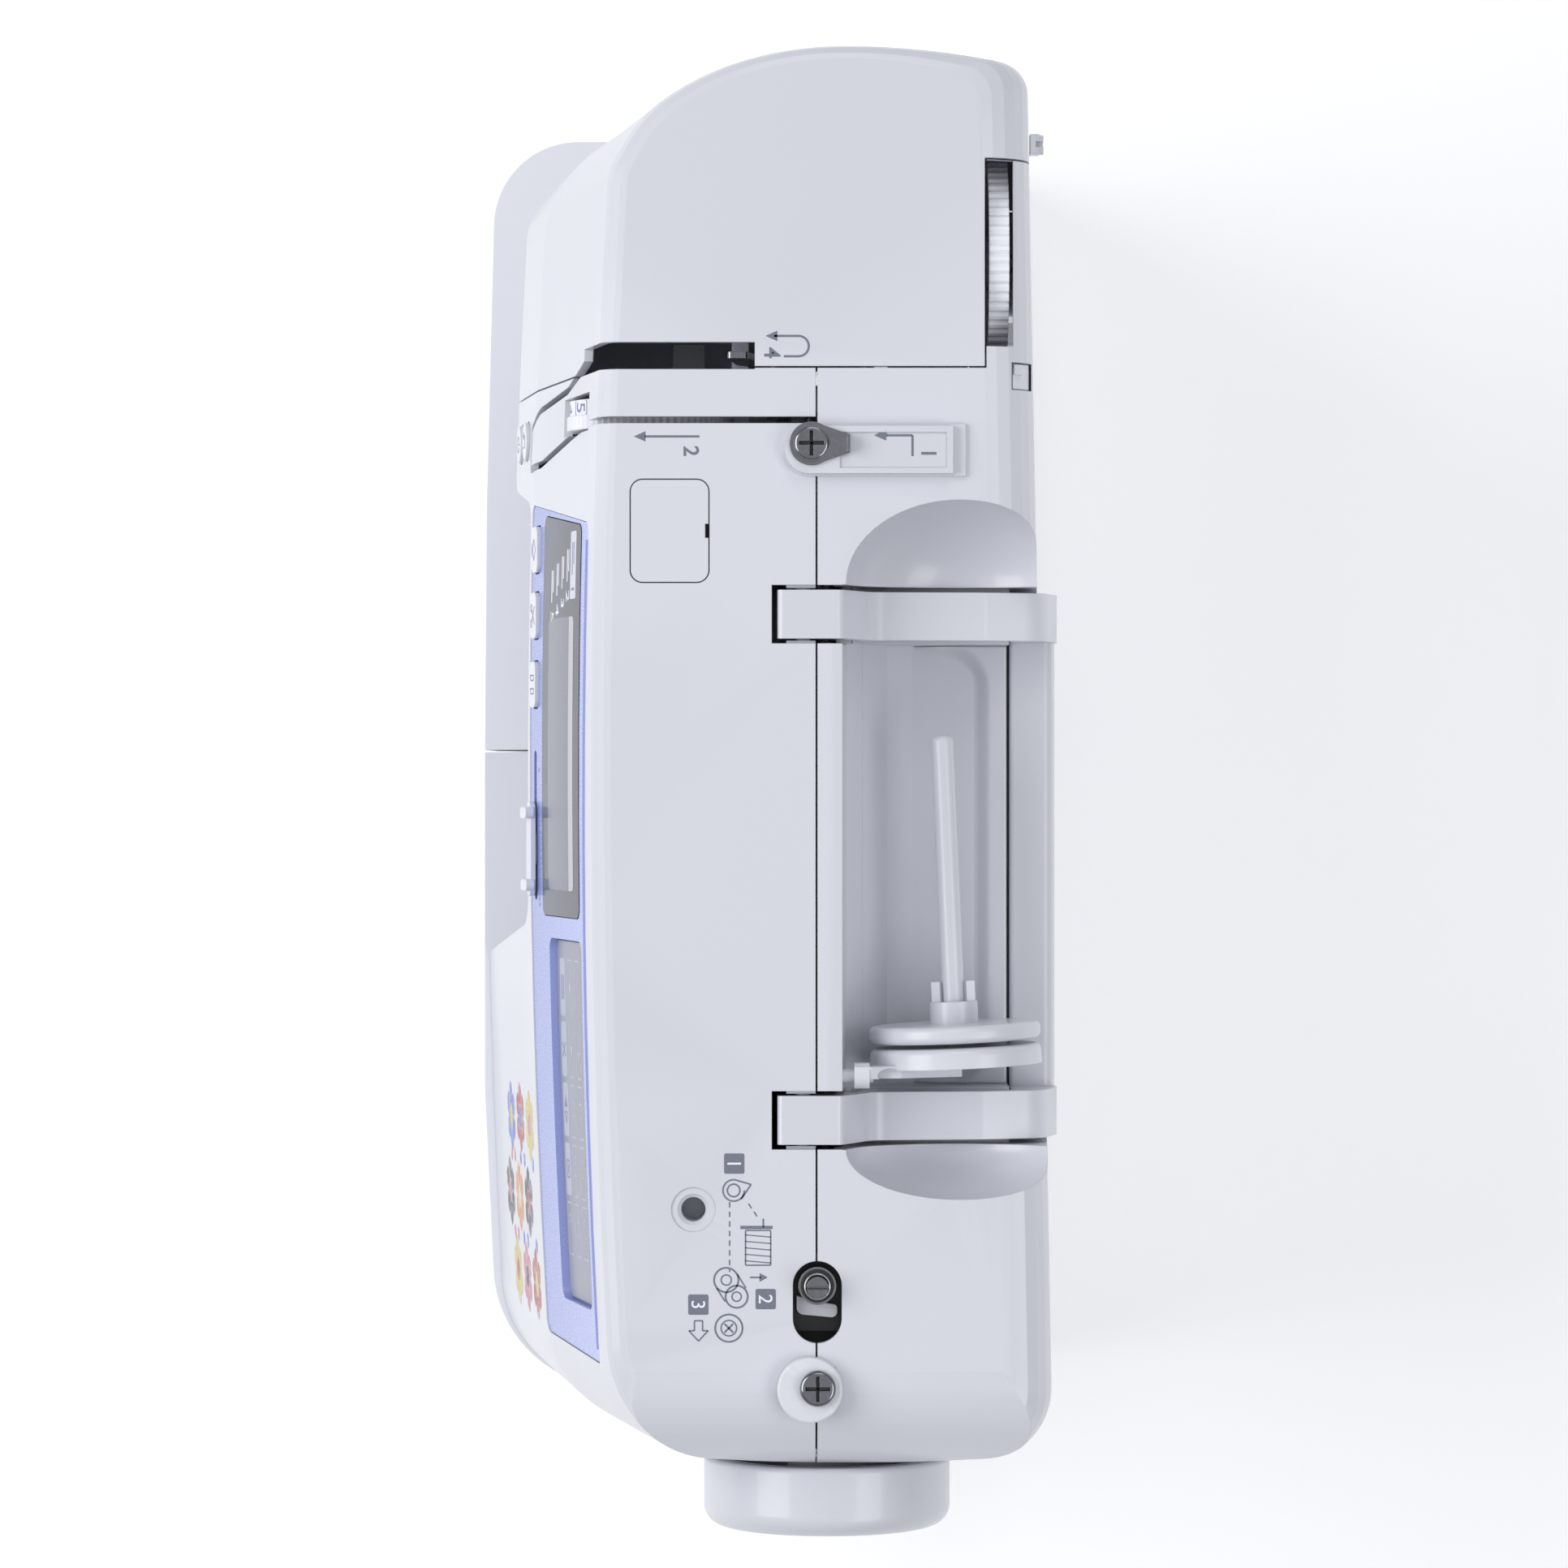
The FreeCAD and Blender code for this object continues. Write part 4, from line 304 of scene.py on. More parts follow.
def painted_zinc():
    finish = Finish("motor_zinc", roughness=0.45)
    peel = finish.noise(0.0012, 2.0)
    rub = finish.wear(0.58)
    colour = finish.mix(peel, (0.085, 0.09, 0.10), (0.12, 0.125, 0.14))
    return finish.set(base_color=finish.mix(rub, colour, (0.5, 0.5, 0.52)), metallic=rub,
                      normal=finish.relief(peel, 0.00004, 0.6))


finishes.update(
    screw_steel=metal("screw_steel", (0.34, 0.35, 0.38), 0.16, 0.0012, (1, 1, 0.1),
                      depth=0.000004, drift=0.55),
    steel=metal("steel", (0.60, 0.61, 0.63), 0.28, 0.0006, (1, 1, 0.05)),
    frame_cast=metal("frame_cast", (0.52, 0.53, 0.54), 0.5, 0.0016, depth=0.00008),
    bronze_bush=metal("bronze_bush", (0.55, 0.36, 0.17), 0.38, 0.0005, depth=0.00002),
    motor_zinc=painted_zinc(),
)
print("metals done")

# %% [markdown]
# ## Rubber, belts, board and clear pieces
#
# The feet are matt rubber with a pebbled skin. The belts are ribbed across, which a wave texture
# gives. The circuit board carries lighter tracks on green lacquer. The bobbin and its cover are
# clear moulded plastic, and the lamp lens is frosted with fine flutes.

# %% Remaining node materials
def rubber(name, size, depth):
    finish = Finish(name, roughness=0.75)
    skin = finish.noise(size, 3.0)
    return finish.set(base_color=finish.mix(skin, (0.012, 0.012, 0.013), (0.035, 0.035, 0.037)),
                      roughness=skin * 0.2 + 0.62, normal=finish.relief(skin, depth, 0.8))


def ribbed_belt():
    finish = Finish("belt_black", roughness=0.6)
    rib = finish.node("TexWave", {"bands_direction": "Z"},
                      {"Vector": finish.place(), "Scale": 120.0})
    return finish.set(base_color=finish.mix(rib, (0.01, 0.01, 0.011), (0.04, 0.04, 0.042)),
                      normal=finish.relief(rib, 0.0003, 0.8))


def circuit_board():
    finish = Finish("board_green", roughness=0.35, coat_weight=0.4)
    cells = {"Vector": finish.place(), "Scale": 260.0, "Randomness": 0.35}
    pads = finish.node("TexVoronoi", {"feature": "F1"}, cells).under(0.22)
    track = finish.node("TexBrick", {}, {"Vector": finish.place(), "Scale": 90.0,
                                         "Mortar Size": 0.06}, out=FACTOR)
    colour = finish.mix(track, (0.012, 0.10, 0.05), (0.03, 0.22, 0.10))
    return finish.set(base_color=finish.mix(pads, colour, (0.62, 0.60, 0.52)), metallic=pads,
                      normal=finish.relief(track + pads, 0.00003, 0.6))


def clear(name, colour, rough, size, depth, stretch=(1, 1, 1)):
    finish = Finish(name, transmission_weight=0.85, roughness=rough, ior=1.49)
    flute = finish.noise(size, 1.0, stretch)
    return finish.set(base_color=finish.mix(flute, tuple(c * 0.96 for c in colour), colour),
                      roughness=flute * 0.05 + rough, normal=finish.relief(flute, depth, 0.4))


def two_tone(name, level):
    """Grey above a height, the raised wing of the winder's sliding plate, and near black below it:
    painted shade where the plate sits down in its slot.
    """
    finish = Finish(name, roughness=0.4)
    speck = finish.noise(SPECK)
    grey = finish.mix(speck, (0.40, 0.41, 0.44), (0.46, 0.47, 0.50))
    raised = finish.along("z").over(level)
    # Painted shade: everything below the wing is near black, like the shadow in the slot.
    return finish.set(base_color=finish.mix(raised, (0.012, 0.012, 0.014), grey),
                      roughness=speck * 0.15 + 0.34, normal=finish.relief(speck, GRAIN, 0.6))


WING_THICKNESS = 0.0036
wing_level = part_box("winder_carriage")[1].z - WING_THICKNESS
finishes.update(
    rubber_black=rubber("rubber_black", 0.0009, 0.00006),
    belt_black=ribbed_belt(),
    board_green=circuit_board(),
    clear_cover=clear("clear_cover", (0.90, 0.92, 0.95), 0.04, 0.004, 0.00001),
    lamp_lens=clear("lamp_lens", (0.95, 0.95, 0.92), 0.3, 0.0015, 0.0001, (1, 0.02, 1)),
)
for node in nodes.values():
    wanted = node.material_slots[0].material.name.split(".")[0]
    for slot in node.material_slots:
        slot.material = finishes[wanted].material
for slot in nodes["winder_carriage"].material_slots:
    slot.material = two_tone("winder_plate", wing_level).material
print("nodes with a finish:", len(nodes))

# %% [markdown]
# ## Drawing ink and laying it on a surface
#
# The marks on the machine are printed, so they follow whatever they are printed on. A `Drawing`
# holds flat shapes in millimetres around an origin taken from a CAD node. `lay` then drops every
# point along one direction until it meets the surface, and gives the ink a thickness of a few
# hundredths of a millimetre, so that each mark is a closed solid. On the top, right in the
# drawing is +X and up is +Y; on the front, up is +Z.

# %% Drawing helper
ROUND_STEPS = 28  # corners of a full circle
INK, SINK = 0.05, 0.01  # thickness of one printed film, and how deep it bites
STROKE, DASH, GAP = 0.45, 1.5, 1.1  # usual width of a line, lengths in a dashed one
LONGEST_EDGE = 7.0  # longer edges are split, to follow a curved cover
HIGH_ABOVE, FAR_IN_FRONT = 400, -200
DOWN, INWARD = Vector((0, 0, -1)), Vector((0, 1, 0))
trees = {}


def surface(name):
    """A search tree of one node's faces, made once."""
    if name not in trees:
        mesh = nodes[name].data
        trees[name] = BVHTree.FromPolygons([v.co for v in mesh.vertices],
                                           [p.vertices[:] for p in mesh.polygons])
    return trees[name]


def extruded(bm):
    """Closes a sheet into a solid and gives back the points of its new side."""
    made = bmesh.ops.extrude_face_region(bm, geom=bm.faces[:])
    return [g for g in made["geom"] if isinstance(g, bmesh.types.BMVert)]


def face_outward(bm, outward):
    """Turns each face to look the way that outward gives for its first point."""
    for face in bm.faces:
        face.normal_update()
        if face.normal.dot(outward(face.verts[0])) < 0:
            face.normal_flip()


def to_metres(bm, centre=(0, 0, 0)):
    """Moves a shape drawn in millimetres to a centre and scales it."""
    matrix = Matrix.Scale(MM, 4) @ Matrix.Translation(centre)
    bmesh.ops.transform(bm, matrix=matrix, verts=bm.verts)
    bmesh.ops.recalc_face_normals(bm, faces=bm.faces[:])
    return bm


def grid(bm, middle, size, steps, turn=Matrix.Identity(4)):
    """A flat grid of a size, with its steps along x and y."""
    place = Matrix.Translation(middle) @ turn @ Matrix.Diagonal((*size, 1, 1))
    return bmesh.ops.create_grid(bm, x_segments=steps[0], y_segments=steps[1], size=0.5,
                                 matrix=place)["verts"]


class Drawing:
    """Flat shapes in millimetres around an origin, laid on the machine at the end."""

    def __init__(self, origin=(0.0, 0.0)):
        self.bm = bmesh.new()
        self.origin = Vector((origin[0], origin[1], 0.0))
        self.tint = self.bm.loops.layers.color.new("patch")

    def bar(self, start, end, width=STROKE):
        a, b = Vector((*start, 0)), Vector((*end, 0))
        run = b - a
        turn = Matrix.Rotation(math.atan2(run.y, run.x), 4, "Z")
        steps = max(1, math.ceil(run.length / 4))
        grid(self.bm, (a + b) / 2, (run.length, width), (steps, 1), turn)
        return self

    def path(self, *points, width=STROKE):
        for start, end in zip(points, points[1:]):
            self.bar(start, end, width)
        return self

    def dashes(self, start, end):
        a, b = Vector(start), Vector(end)
        way = (b - a).normalized()
        at = 0.0
        while at < (b - a).length:
            stop = min(at + DASH, (b - a).length)
            self.bar(a + way * at, a + way * stop, 0.4)
            at += DASH + GAP
        return self

    def arc(self, centre, radius, start=0.0, turn=360.0, width=STROKE):
        middle = Vector((*centre, 0))
        ray = Vector((math.cos(math.radians(start)), math.sin(math.radians(start)), 0))
        ends = [self.bm.verts.new(middle + ray * (radius + side * width / 2)) for side in (-1, 1)]
        edge = self.bm.edges.new(ends)
        bmesh.ops.spin(self.bm, geom=[*ends, edge], cent=middle, axis=(0, 0, 1),
                       angle=math.radians(turn), steps=max(6, int(ROUND_STEPS * abs(turn) / 360)),
                       use_merge=abs(turn) >= 360)
        return self

    def disc(self, centre, radius, corners, turn):
        place = Matrix.Translation((*centre, 0)) @ Matrix.Rotation(math.radians(turn), 4, "Z")
        made = bmesh.ops.create_circle(self.bm, cap_ends=True, segments=corners, radius=radius,
                                       matrix=place)
        return made["verts"]

    def shape(self, *points):
        self.bm.faces.new([self.bm.verts.new((*p, 0)) for p in points])
        return self

    def plate(self, low, high, radius=0.6, hollow=0.0):
        """A filled rectangle with round corners, or only its outline."""
        middle = ((low[0] + high[0]) / 2, (low[1] + high[1]) / 2, 0)
        verts = grid(self.bm, middle, (high[0] - low[0], high[1] - low[1]), (1, 1))
        face = verts[0].link_faces[0]
        if radius:
            cut = bmesh.ops.bevel(self.bm, geom=verts, offset=radius, segments=4,
                                  profile=0.5, affect="VERTICES", material=-1)
            face = max(cut["verts"][0].link_faces, key=lambda f: f.calc_area())
        if hollow:
            bmesh.ops.inset_individual(self.bm, faces=[face], thickness=hollow, depth=0)
            bmesh.ops.delete(self.bm, geom=[face], context="FACES")
        return self

    def head(self, tip, turn, length=3.2, width=2.8):
        """An arrow head whose point looks along turn, in degrees."""
        way = Vector((math.cos(math.radians(turn)), math.sin(math.radians(turn))))
        side = Vector((-way.y, way.x)) * width / 2
        back = Vector(tip) - way * length
        return self.shape(tip, back + side, back - side)

    def text(self, words, centre, height, stretch=1.0, bold=0.0):
        curve = bpy.data.curves.new("numeral", "FONT")
        curve.body, curve.align_x, curve.align_y = words, "CENTER", "CENTER"
        curve.offset = bold
        holder = bpy.data.objects.new("numeral", curve)
        mesh = bpy.data.meshes.new_from_object(holder)
        top, foot = max(v.co.y for v in mesh.vertices), min(v.co.y for v in mesh.vertices)
        size = height / (top - foot)
        mesh.transform(Matrix.Translation((*centre, 0))
                       @ Matrix.Diagonal((size * stretch, size, 1, 1))
                       @ Matrix.Translation((0, -(top + foot) / 2, 0)))
        self.bm.from_mesh(mesh)
        bpy.data.objects.remove(holder)
        bpy.data.curves.remove(curve)
        bpy.data.meshes.remove(mesh)
        return self

    def lay(self, name, side, on, body, finish, slot, thick=INK):
        """Drops the drawing on nodes, from the top or the front, and makes it a closed solid."""
        bm = self.bm
        bmesh.ops.triangulate(bm, faces=bm.faces[:])
        for _ in range(3):
            long = [e for e in bm.edges if e.calc_length() > LONGEST_EDGE]
            if long:
                bmesh.ops.subdivide_edges(bm, edges=long, cuts=1)
                bmesh.ops.triangulate(bm, faces=bm.faces[:])
        way = DOWN if side == "top" else INWARD
        missed = 0
        for vert in bm.verts:
            flat = vert.co + self.origin
            start = (Vector((flat.x, flat.y, HIGH_ABOVE)) if side == "top"
                     else Vector((flat.x, FAR_IN_FRONT, flat.y))) * MM
            hits = [surface(n).ray_cast(start, way) for n in on]
            hits = [h for h in hits if h[0] is not None]
            if not hits:
                missed += 1
                continue
            point = min(hits, key=lambda h: h[3])[0]
            vert.co = point + way * SINK * MM
        if missed:
            raise ValueError(f"{name}: {missed} points miss {on}")
        face_outward(bm, lambda vert: -way)
        bmesh.ops.translate(bm, verts=extruded(bm), vec=-way * (thick + SINK) * MM)
        bmesh.ops.recalc_face_normals(bm, faces=bm.faces[:])
        return keep(bm, name, body, finish)


def keep(bm, name, body, finish, smooth=False):
    """Turns a bmesh into a piece that rides on a body."""
    mesh = bpy.data.meshes.new(name)
    bm.to_mesh(mesh)
    bm.free()
    for polygon in mesh.polygons:
        polygon.use_smooth = smooth
    mesh.materials.append(finish.material)
    piece = bpy.data.objects.new(name, mesh)
    bpy.context.scene.collection.objects.link(piece)
    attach(piece, body)
    return piece


def middle_of(name, side="top"):
    """The middle of a node as it is seen from one side, in millimetres."""
    low, high = box_mm(name)
    centre = (low + high) / 2
    return (centre.x, centre.y) if side == "top" else (centre.x, centre.z)


print("drawing helper ready")

# %% [markdown]
# ## Ink
#
# Printing ink is a thin, slightly uneven film: a touch lighter where the screen left less of it.

# %% Inks
INK_ROUGHNESS = 0.45


def ink(name, colour):
    finish = Finish(name, roughness=INK_ROUGHNESS)
    thin = finish.noise(0.0008, 2.0)
    lighter = tuple(min(1.0, c * 1.25 + 0.02) for c in colour)
    return finish.set(base_color=finish.mix(thin, colour, lighter),
                      roughness=thin * 0.2 + INK_ROUGHNESS)


GREY_INK = ink("ink_grey", (0.135, 0.15, 0.195))
WHITE_INK = ink("ink_white", (0.72, 0.74, 0.80))
PALE_INK = ink("ink_pale", (0.56, 0.58, 0.65))
BLUE_INK = ink("ink_blue_grey", (0.20, 0.22, 0.34))
FAINT_INK = ink("ink_faint", (0.40, 0.42, 0.50))
print("inks ready")

# %% [markdown]
# ## Threading marks on the top
#
# Three numbered arrows show the thread path. Arrow 1 is on the raised guide pad, arrow 2 runs
# beside the tension slot, and arrow 4 makes a U-turn next to the take-up slot. They are measured
# from the middle of the guide pad.

# %% Threading marks
HEAVY, BOLD = 0.62, 0.018  # width of the lines, growth of the numerals
pad = middle_of("guide_pad")

one = Drawing(pad)
one.head((-3.85, -0.05), -90).path((-3.85, 3), (-3.85, 10.3), (1.75, 10.3), width=HEAVY)
one.text("1", (1.0, 14.7), 4.1, bold=BOLD)
one.lay("mark_thread_1", "top", ["guide_pad"], "casing", GREY_INK, "casing_white")

two = Drawing(pad)
two.head((-3.75, -64.95), -90).bar((-3.75, -62), (-3.75, -47.2), HEAVY)
two.text("2", (0.2, -49.4), 4.2, bold=BOLD)
two.lay("mark_thread_2", "top", ["front_cover"], "casing", GREY_INK, "casing_white")

four = Drawing(pad)
four.head((-30.9, -29.35), -90).bar((-30.9, -27), (-30.9, -20.4), HEAVY)
four.arc((-28.15, -20.4), 2.75, 0, 180, HEAVY).bar((-25.4, -20.4), (-25.4, -24.4), HEAVY)
four.text("4", (-26.3, -27.5), 4.4, bold=BOLD)
four.lay("mark_thread_4", "top", ["face_cover"], "casing", GREY_INK, "casing_white")
print("threading marks laid")

# %% [markdown]
# ## The bobbin winding diagram
#
# Beside the winder, a small diagram shows the thread going from the spool round the guide to the
# bobbin. Its three step numbers sit in filled badges, so the numerals are a second, pale ink laid
# on top of the first. It is measured from the middle of the winder stopper.

# %% Winding diagram
stop = middle_of("winder_stopper")
diagram, numbers = Drawing(stop), Drawing(stop)
BADGE = 2.75  # half the width of a badge
badges = {"1": (-60.85, -20.45), "2": (-24.25, -11.95), "3": (-22.75, -30.15)}
for word, (x, y) in badges.items():
    diagram.plate((x - BADGE, y - BADGE), (x + BADGE, y + BADGE), 0.5)
    numbers.text(word, (x, y), 3.7)
diagram.arc((-53.6, -20.6), 2.9, -200, 290).arc((-53.6, -20.6), 1.7)
diagram.path((-56.3, -19.6), (-55.2, -15.9), (-51.2, -18.6))
diagram.dashes((-50.5, -21.7), (-31.6, -21.7)).dashes((-50, -16.6), (-45.9, -13.8))
diagram.bar((-43.6, -18.8), (-43.6, -10.1), 0.9).bar((-46, -12.6), (-43.6, -12.6))
diagram.plate((-43, -17.6), (-33.2, -10.4), 0.4, 0.4)
for i in range(5):
    diagram.bar((-41.6 + i * 1.75, -17.5), (-41.0 + i * 1.75, -10.5), 0.3)
for x, y, r in ((-29.4, -22.6, 3.3), (-24.9, -19.8, 3.0)):
    diagram.arc((x, y), r, width=0.5).arc((x, y), r * 0.42, width=0.4)
diagram.bar((-27.2, -25.2), (-23.6, -22.9), 0.4).bar((-31.0, -19.6), (-27.2, -17.3), 0.4)
diagram.head((-30.1, -11.4), 90, 2.2, 2.4).bar((-30.1, -16.2), (-30.1, -13.2))
diagram.arc((-16.4, -21.9), 3.7, width=0.5).arc((-16.4, -21.9), 2.1, width=0.4)
diagram.bar((-17.6, -23.1), (-15.2, -20.7), 0.5).bar((-17.6, -20.7), (-15.2, -23.1), 0.5)
diagram.path((-18.4, -29.0), (-15.7, -29.0), (-15.7, -27.5), (-12.9, -30.1), (-15.7, -32.7),
             (-15.7, -31.2), (-18.4, -31.2), (-18.4, -29.0), width=0.4)
diagram.lay("mark_winding", "top", ["front_cover"], "casing", GREY_INK, "casing_white")
numbers.lay("mark_winding_numbers", "top", ["front_cover"], "casing", WHITE_INK, "casing_white",
            thick=INK * 2)
print("winding diagram laid")

# %% [markdown]
# ## The display and its legend
#
# Behind the smoked sheet lies the liquid-crystal screen, a paler rectangle with a painted
# highlight, a bright strip, along its top. To its left a column of small plates numbers the five
# stitch groups.
# The numerals are plain, and the first group is picked out on a pale ground.

# %% Display graphics
SCREEN_FOOT, SCREEN_HEIGHT = 0.010, 0.036  # above the foot of the display, in metres


def screen_finish():
    finish = Finish("screen_grey", roughness=0.2, ior=1.24)
    rise = finish.along("z", display_low.z + SCREEN_FOOT) / SCREEN_HEIGHT
    dots = finish.node("TexBrick", {"offset": 0.0}, {
        "Vector": finish.node("Mapping",
                              values={0: finish.place(), TURN_IN: (math.radians(90), 0, 0)}),
        "Scale": 400.0, "Mortar Size": 0.03, "Brick Width": 0.5, "Row Height": 0.5}, out=FACTOR)
    base = finish.mix(rise.ramp(0.0, 1.0), (0.185, 0.20, 0.25), (0.14, 0.155, 0.20))
    # Painted highlight: a bright strip along the top of the screen.
    base = finish.mix(rise.over(0.80), base, (0.46, 0.46, 0.50))
    return finish.set(base_color=finish.mix(dots * 0.12, base, (0.2, 0.21, 0.24)),
                      roughness=rise * 0.08 + 0.16)


window = middle_of("lcd_window", "front")
screen = Drawing(window).plate((-27.0, -17.8), (49.0, 18.2), 2.0)
screen.lay("display_screen", "front", ["lcd_window"], "casing", screen_finish(), "display_dark")

legend, ground, on_ground = Drawing(window), Drawing(window), Drawing(window)
for row in range(5):
    x, z = -47.5 + row * 1.7, 16.5 - row * 7.4
    where = on_ground if row == 0 else legend
    where.plate((x, z - 1.5), (x + 9.0, z - 0.5), 0.0)
    where.plate((x, z + 0.6), (x + 6.2, z + 1.5), 0.0)
    where.text(str(row + 1), (x + 13.0, z), 4.2, 1.2)
ground.plate((-50.5, 12.6), (-31.8, 20.4), 0.8)
ground.lay("display_ground", "front", ["lcd_window"], "casing", PALE_INK, "display_dark")
legend.lay("display_legend", "front", ["lcd_window"], "casing", WHITE_INK, "display_dark")
on_ground.lay("display_legend_dark", "front", ["lcd_window"], "casing", BLUE_INK, "display_dark",
              thick=INK * 2)
print("display drawn")

# %% [markdown]
# ## Keys and keypad
#
# The three small keys carry plain symbols: a diamond for the pattern, scissors for the thread
# trimmer and two bars for the needle stop. Each symbol rides with its own key. The keypad film
# has a bottom row of filled keys and three rows of outlined ones with ordinary numerals.

# %% Key symbols
def on_key(key):
    """A drawing around the middle of one key."""
    return Drawing(middle_of(key, "front"))


def print_key(drawing, name, key, body):
    drawing.lay(name, "front", [key], body, BLUE_INK, "key_white")


sign = on_key("pattern_key")
sign.path((-3.0, 0), (0, 2.2), (3.0, 0), (0, -2.2), (-3.0, 0), width=0.5)
sign.bar((-2, -3), (2, -3), 0.4)
print_key(sign, "symbol_pattern", "pattern_key", "key_pattern")

sign = on_key("thread_trim_key")
for side in (-1, 1):
    sign.bar((1.7 * side, -1.3), (-2.6 * side, 2.8), 0.5)
for side in (-1, 1):
    sign.arc((2.2 * side, -2.1), 1.0)
print_key(sign, "symbol_trim", "thread_trim_key", "key_trim")

sign = on_key("needle_up_key")
sign.path((-2.6, 2.6), (-2.6, -2.6), (-1.2, -1.4), (-1.2, 2.6), (-2.6, 2.6))
sign.path((1.2, 2.6), (1.2, -2.6), (2.6, -1.4), (2.6, 2.6), (1.2, 2.6))
print_key(sign, "symbol_needle", "needle_up_key", "key_needle")

sign = on_key("start_stop_key").arc((0, 0), 2.2, 120, 300, width=0.5)
sign.bar((0, 0.4), (0, 3.0), 0.5)
print_key(sign, "symbol_start", "start_stop_key", "key_start")

sign = on_key("reverse_key").arc((0, 0.2), 1.7, 0, 180, width=0.5)
sign.bar((1.7, 0.2), (1.7, -2.2), 0.5).head((-1.7, -2.8), -90, 2.2, 2.4)
sign.bar((-1.7, 0.2), (-1.7, -1.0), 0.5)
print_key(sign, "symbol_reverse", "reverse_key", "key_reverse")

slide = middle_of("speed_slider", "front")
dots = Drawing(slide)
for x, count in ((-23.0, 1), (-1.5, 2), (12.0, 3)):
    for i in range(count):
        dots.plate((x + i * 1.6, 4.6), (x + i * 1.6 + 1.1, 5.8), 0.0)
dots.lay("marks_speed", "front", ["front_panel"], "casing", BLUE_INK, "panel_lavender")
print("key symbols laid")

# %% Keypad graphics
keys, lines, signs = Drawing(), Drawing(), Drawing()
columns = [(45.4, 61.6), (63.2, 78.6), (80.4, 95.4), (97.2, 112.0), (113.8, 128.8)]
rows = [(223.6, 231.0), (234.2, 241.6), (244.8, 252.2), (255.4, 262.4)]
for x0, x1 in columns[:4]:
    keys.plate((x0, rows[0][0]), (x1, rows[0][1]), 1.2)
lines.plate((columns[4][0], rows[0][0]), (columns[4][1], rows[0][1]), 1.2, 0.5)
for low, high in rows[1:]:
    lines.plate((columns[0][0], low), (columns[1][1], high), 1.2, 0.5)
    for x0, x1 in columns[2:]:
        lines.plate((x0, low), (x1, high), 1.2, 0.5)
digits = iter("789456123")
for low, high in rows[1:]:
    for x0, x1 in columns[2:]:
        x = (x0 + x1) / 2
        lines.text(next(digits), (x - 3.0, (low + high) / 2), 3.8, 1.1)
        lines.bar((x + 1.2, low + 1.6), (x + 1.2, high - 1.6), 0.35)
        lines.bar((x + 2.8, low + 2.6), (x + 5.0, high - 2.6), 0.35)
lines.text("0", (columns[4][0] + 4.6, (rows[0][0] + rows[0][1]) / 2), 3.8, 1.1)
base_z, arrows_z, signs_z = (sum(row) / 2 for row in rows[:3])
lines.head((51.0, arrows_z), 180, 3.2, 3.4).head((73.0, arrows_z), 0, 3.2, 3.4)
lines.bar((51.0, signs_z), (54.6, signs_z), 0.6).bar((69.6, signs_z), (73.2, signs_z), 0.6)
lines.bar((71.4, signs_z - 1.8), (71.4, signs_z + 1.8), 0.6)
for i in range(3):
    signs.bar((50.0, base_z - 1.7 + i * 1.7), (57.0, base_z - 1.7 + i * 1.7), 0.6)
signs.bar((69.0, base_z - 2), (73.0, base_z + 2), 0.6)
signs.bar((69.0, base_z + 2), (73.0, base_z - 2), 0.6)
signs.shape((87.2, base_z - 2.2), (87.2, base_z + 2.2), (83.8, base_z))
signs.path((88.6, base_z - 2.0), (88.6, base_z + 2.0), (91.6, base_z), (88.6, base_z - 2.0),
           width=0.4)
signs.plate((102.0, base_z - 1.9), (107.2, base_z + 1.9), 0.5, 0.5)
signs.bar((103.4, base_z), (105.8, base_z), 0.5)
keys.lay("keypad_keys", "front", ["keypad_film"], "casing", FAINT_INK, "keypad_film")
lines.lay("keypad_lines", "front", ["keypad_film"], "casing", FAINT_INK, "keypad_film")
signs.lay("keypad_signs", "front", ["keypad_film"], "casing", BLUE_INK, "keypad_film",
          thick=INK * 2)
print("keypad drawn")

# %% [markdown]
# ## The lip of the panel
#
# The upper edge of the panel is a moulded lip that catches the light. Two beads laid along the
# edge make it: a wide low one and a narrow one on top of it, so that the lip is stepped.

# %% Panel lip
middle = middle_of("front_panel", "front")
lip_left = (panel_low.x / MM - middle[0] + 16.0, panel_high.z / MM - middle[1] - 4.5)
lip_right = (panel_high.x / MM - middle[0] - 6.9, panel_high.z / MM - middle[1] - 8.8)
for name, width, thick in (("panel_lip", 2.2, 0.35), ("panel_lip_crest", 0.9, 0.7)):
    Drawing(middle).bar(lip_left, lip_right, width).lay(
        name, "front", ["front_panel"], "casing", finishes["panel_lavender"], "panel_lavender",
        thick=thick)
print("lip runs", round(lip_right[0] - lip_left[0]), "mm")

# %% [markdown]
# ## A patchwork transfer on the column
#
# Below the keypad the column has a printed transfer of patchwork flowers. Each flower here is
# seven hexagons, one in the middle and six around it, in soft cotton colours. The colour of every
# hexagon is stored in a colour attribute, and the material adds the little dots of a printed
# cloth.

# %% Patchwork
def patchwork_finish():
    finish = Finish("patchwork_print", roughness=0.4)
    cloth = finish.node("Attribute", {"attribute_name": "patch"})
    cells = {"Vector": finish.place(), "Scale": 900.0}
    dots = finish.node("TexVoronoi", {"feature": "F1"}, cells).under(0.3)
    blotch = finish.noise(0.0035, 3.0).ramp(0.45, 0.65)
    colour = finish.mix(blotch * 0.45, cloth, (0.80, 0.72, 0.62))
    return finish.set(base_color=finish.mix(dots * 0.35, colour, (0.35, 0.30, 0.32)),
                      roughness=blotch * 0.1 + 0.35)


CLOTH = {"lemon": (0.78, 0.72, 0.36), "rose": (0.66, 0.22, 0.22), "navy": (0.16, 0.16, 0.28),
         "pink": (0.75, 0.45, 0.55), "peach": (0.80, 0.52, 0.26), "sky": (0.32, 0.42, 0.78),
         "cream": (0.82, 0.78, 0.68)}
HEX = 3.9  # from the middle of a hexagon's place to its corner
patch = Drawing((pad_high.x / MM - 22.0, pad_low.z / MM - 81.0))


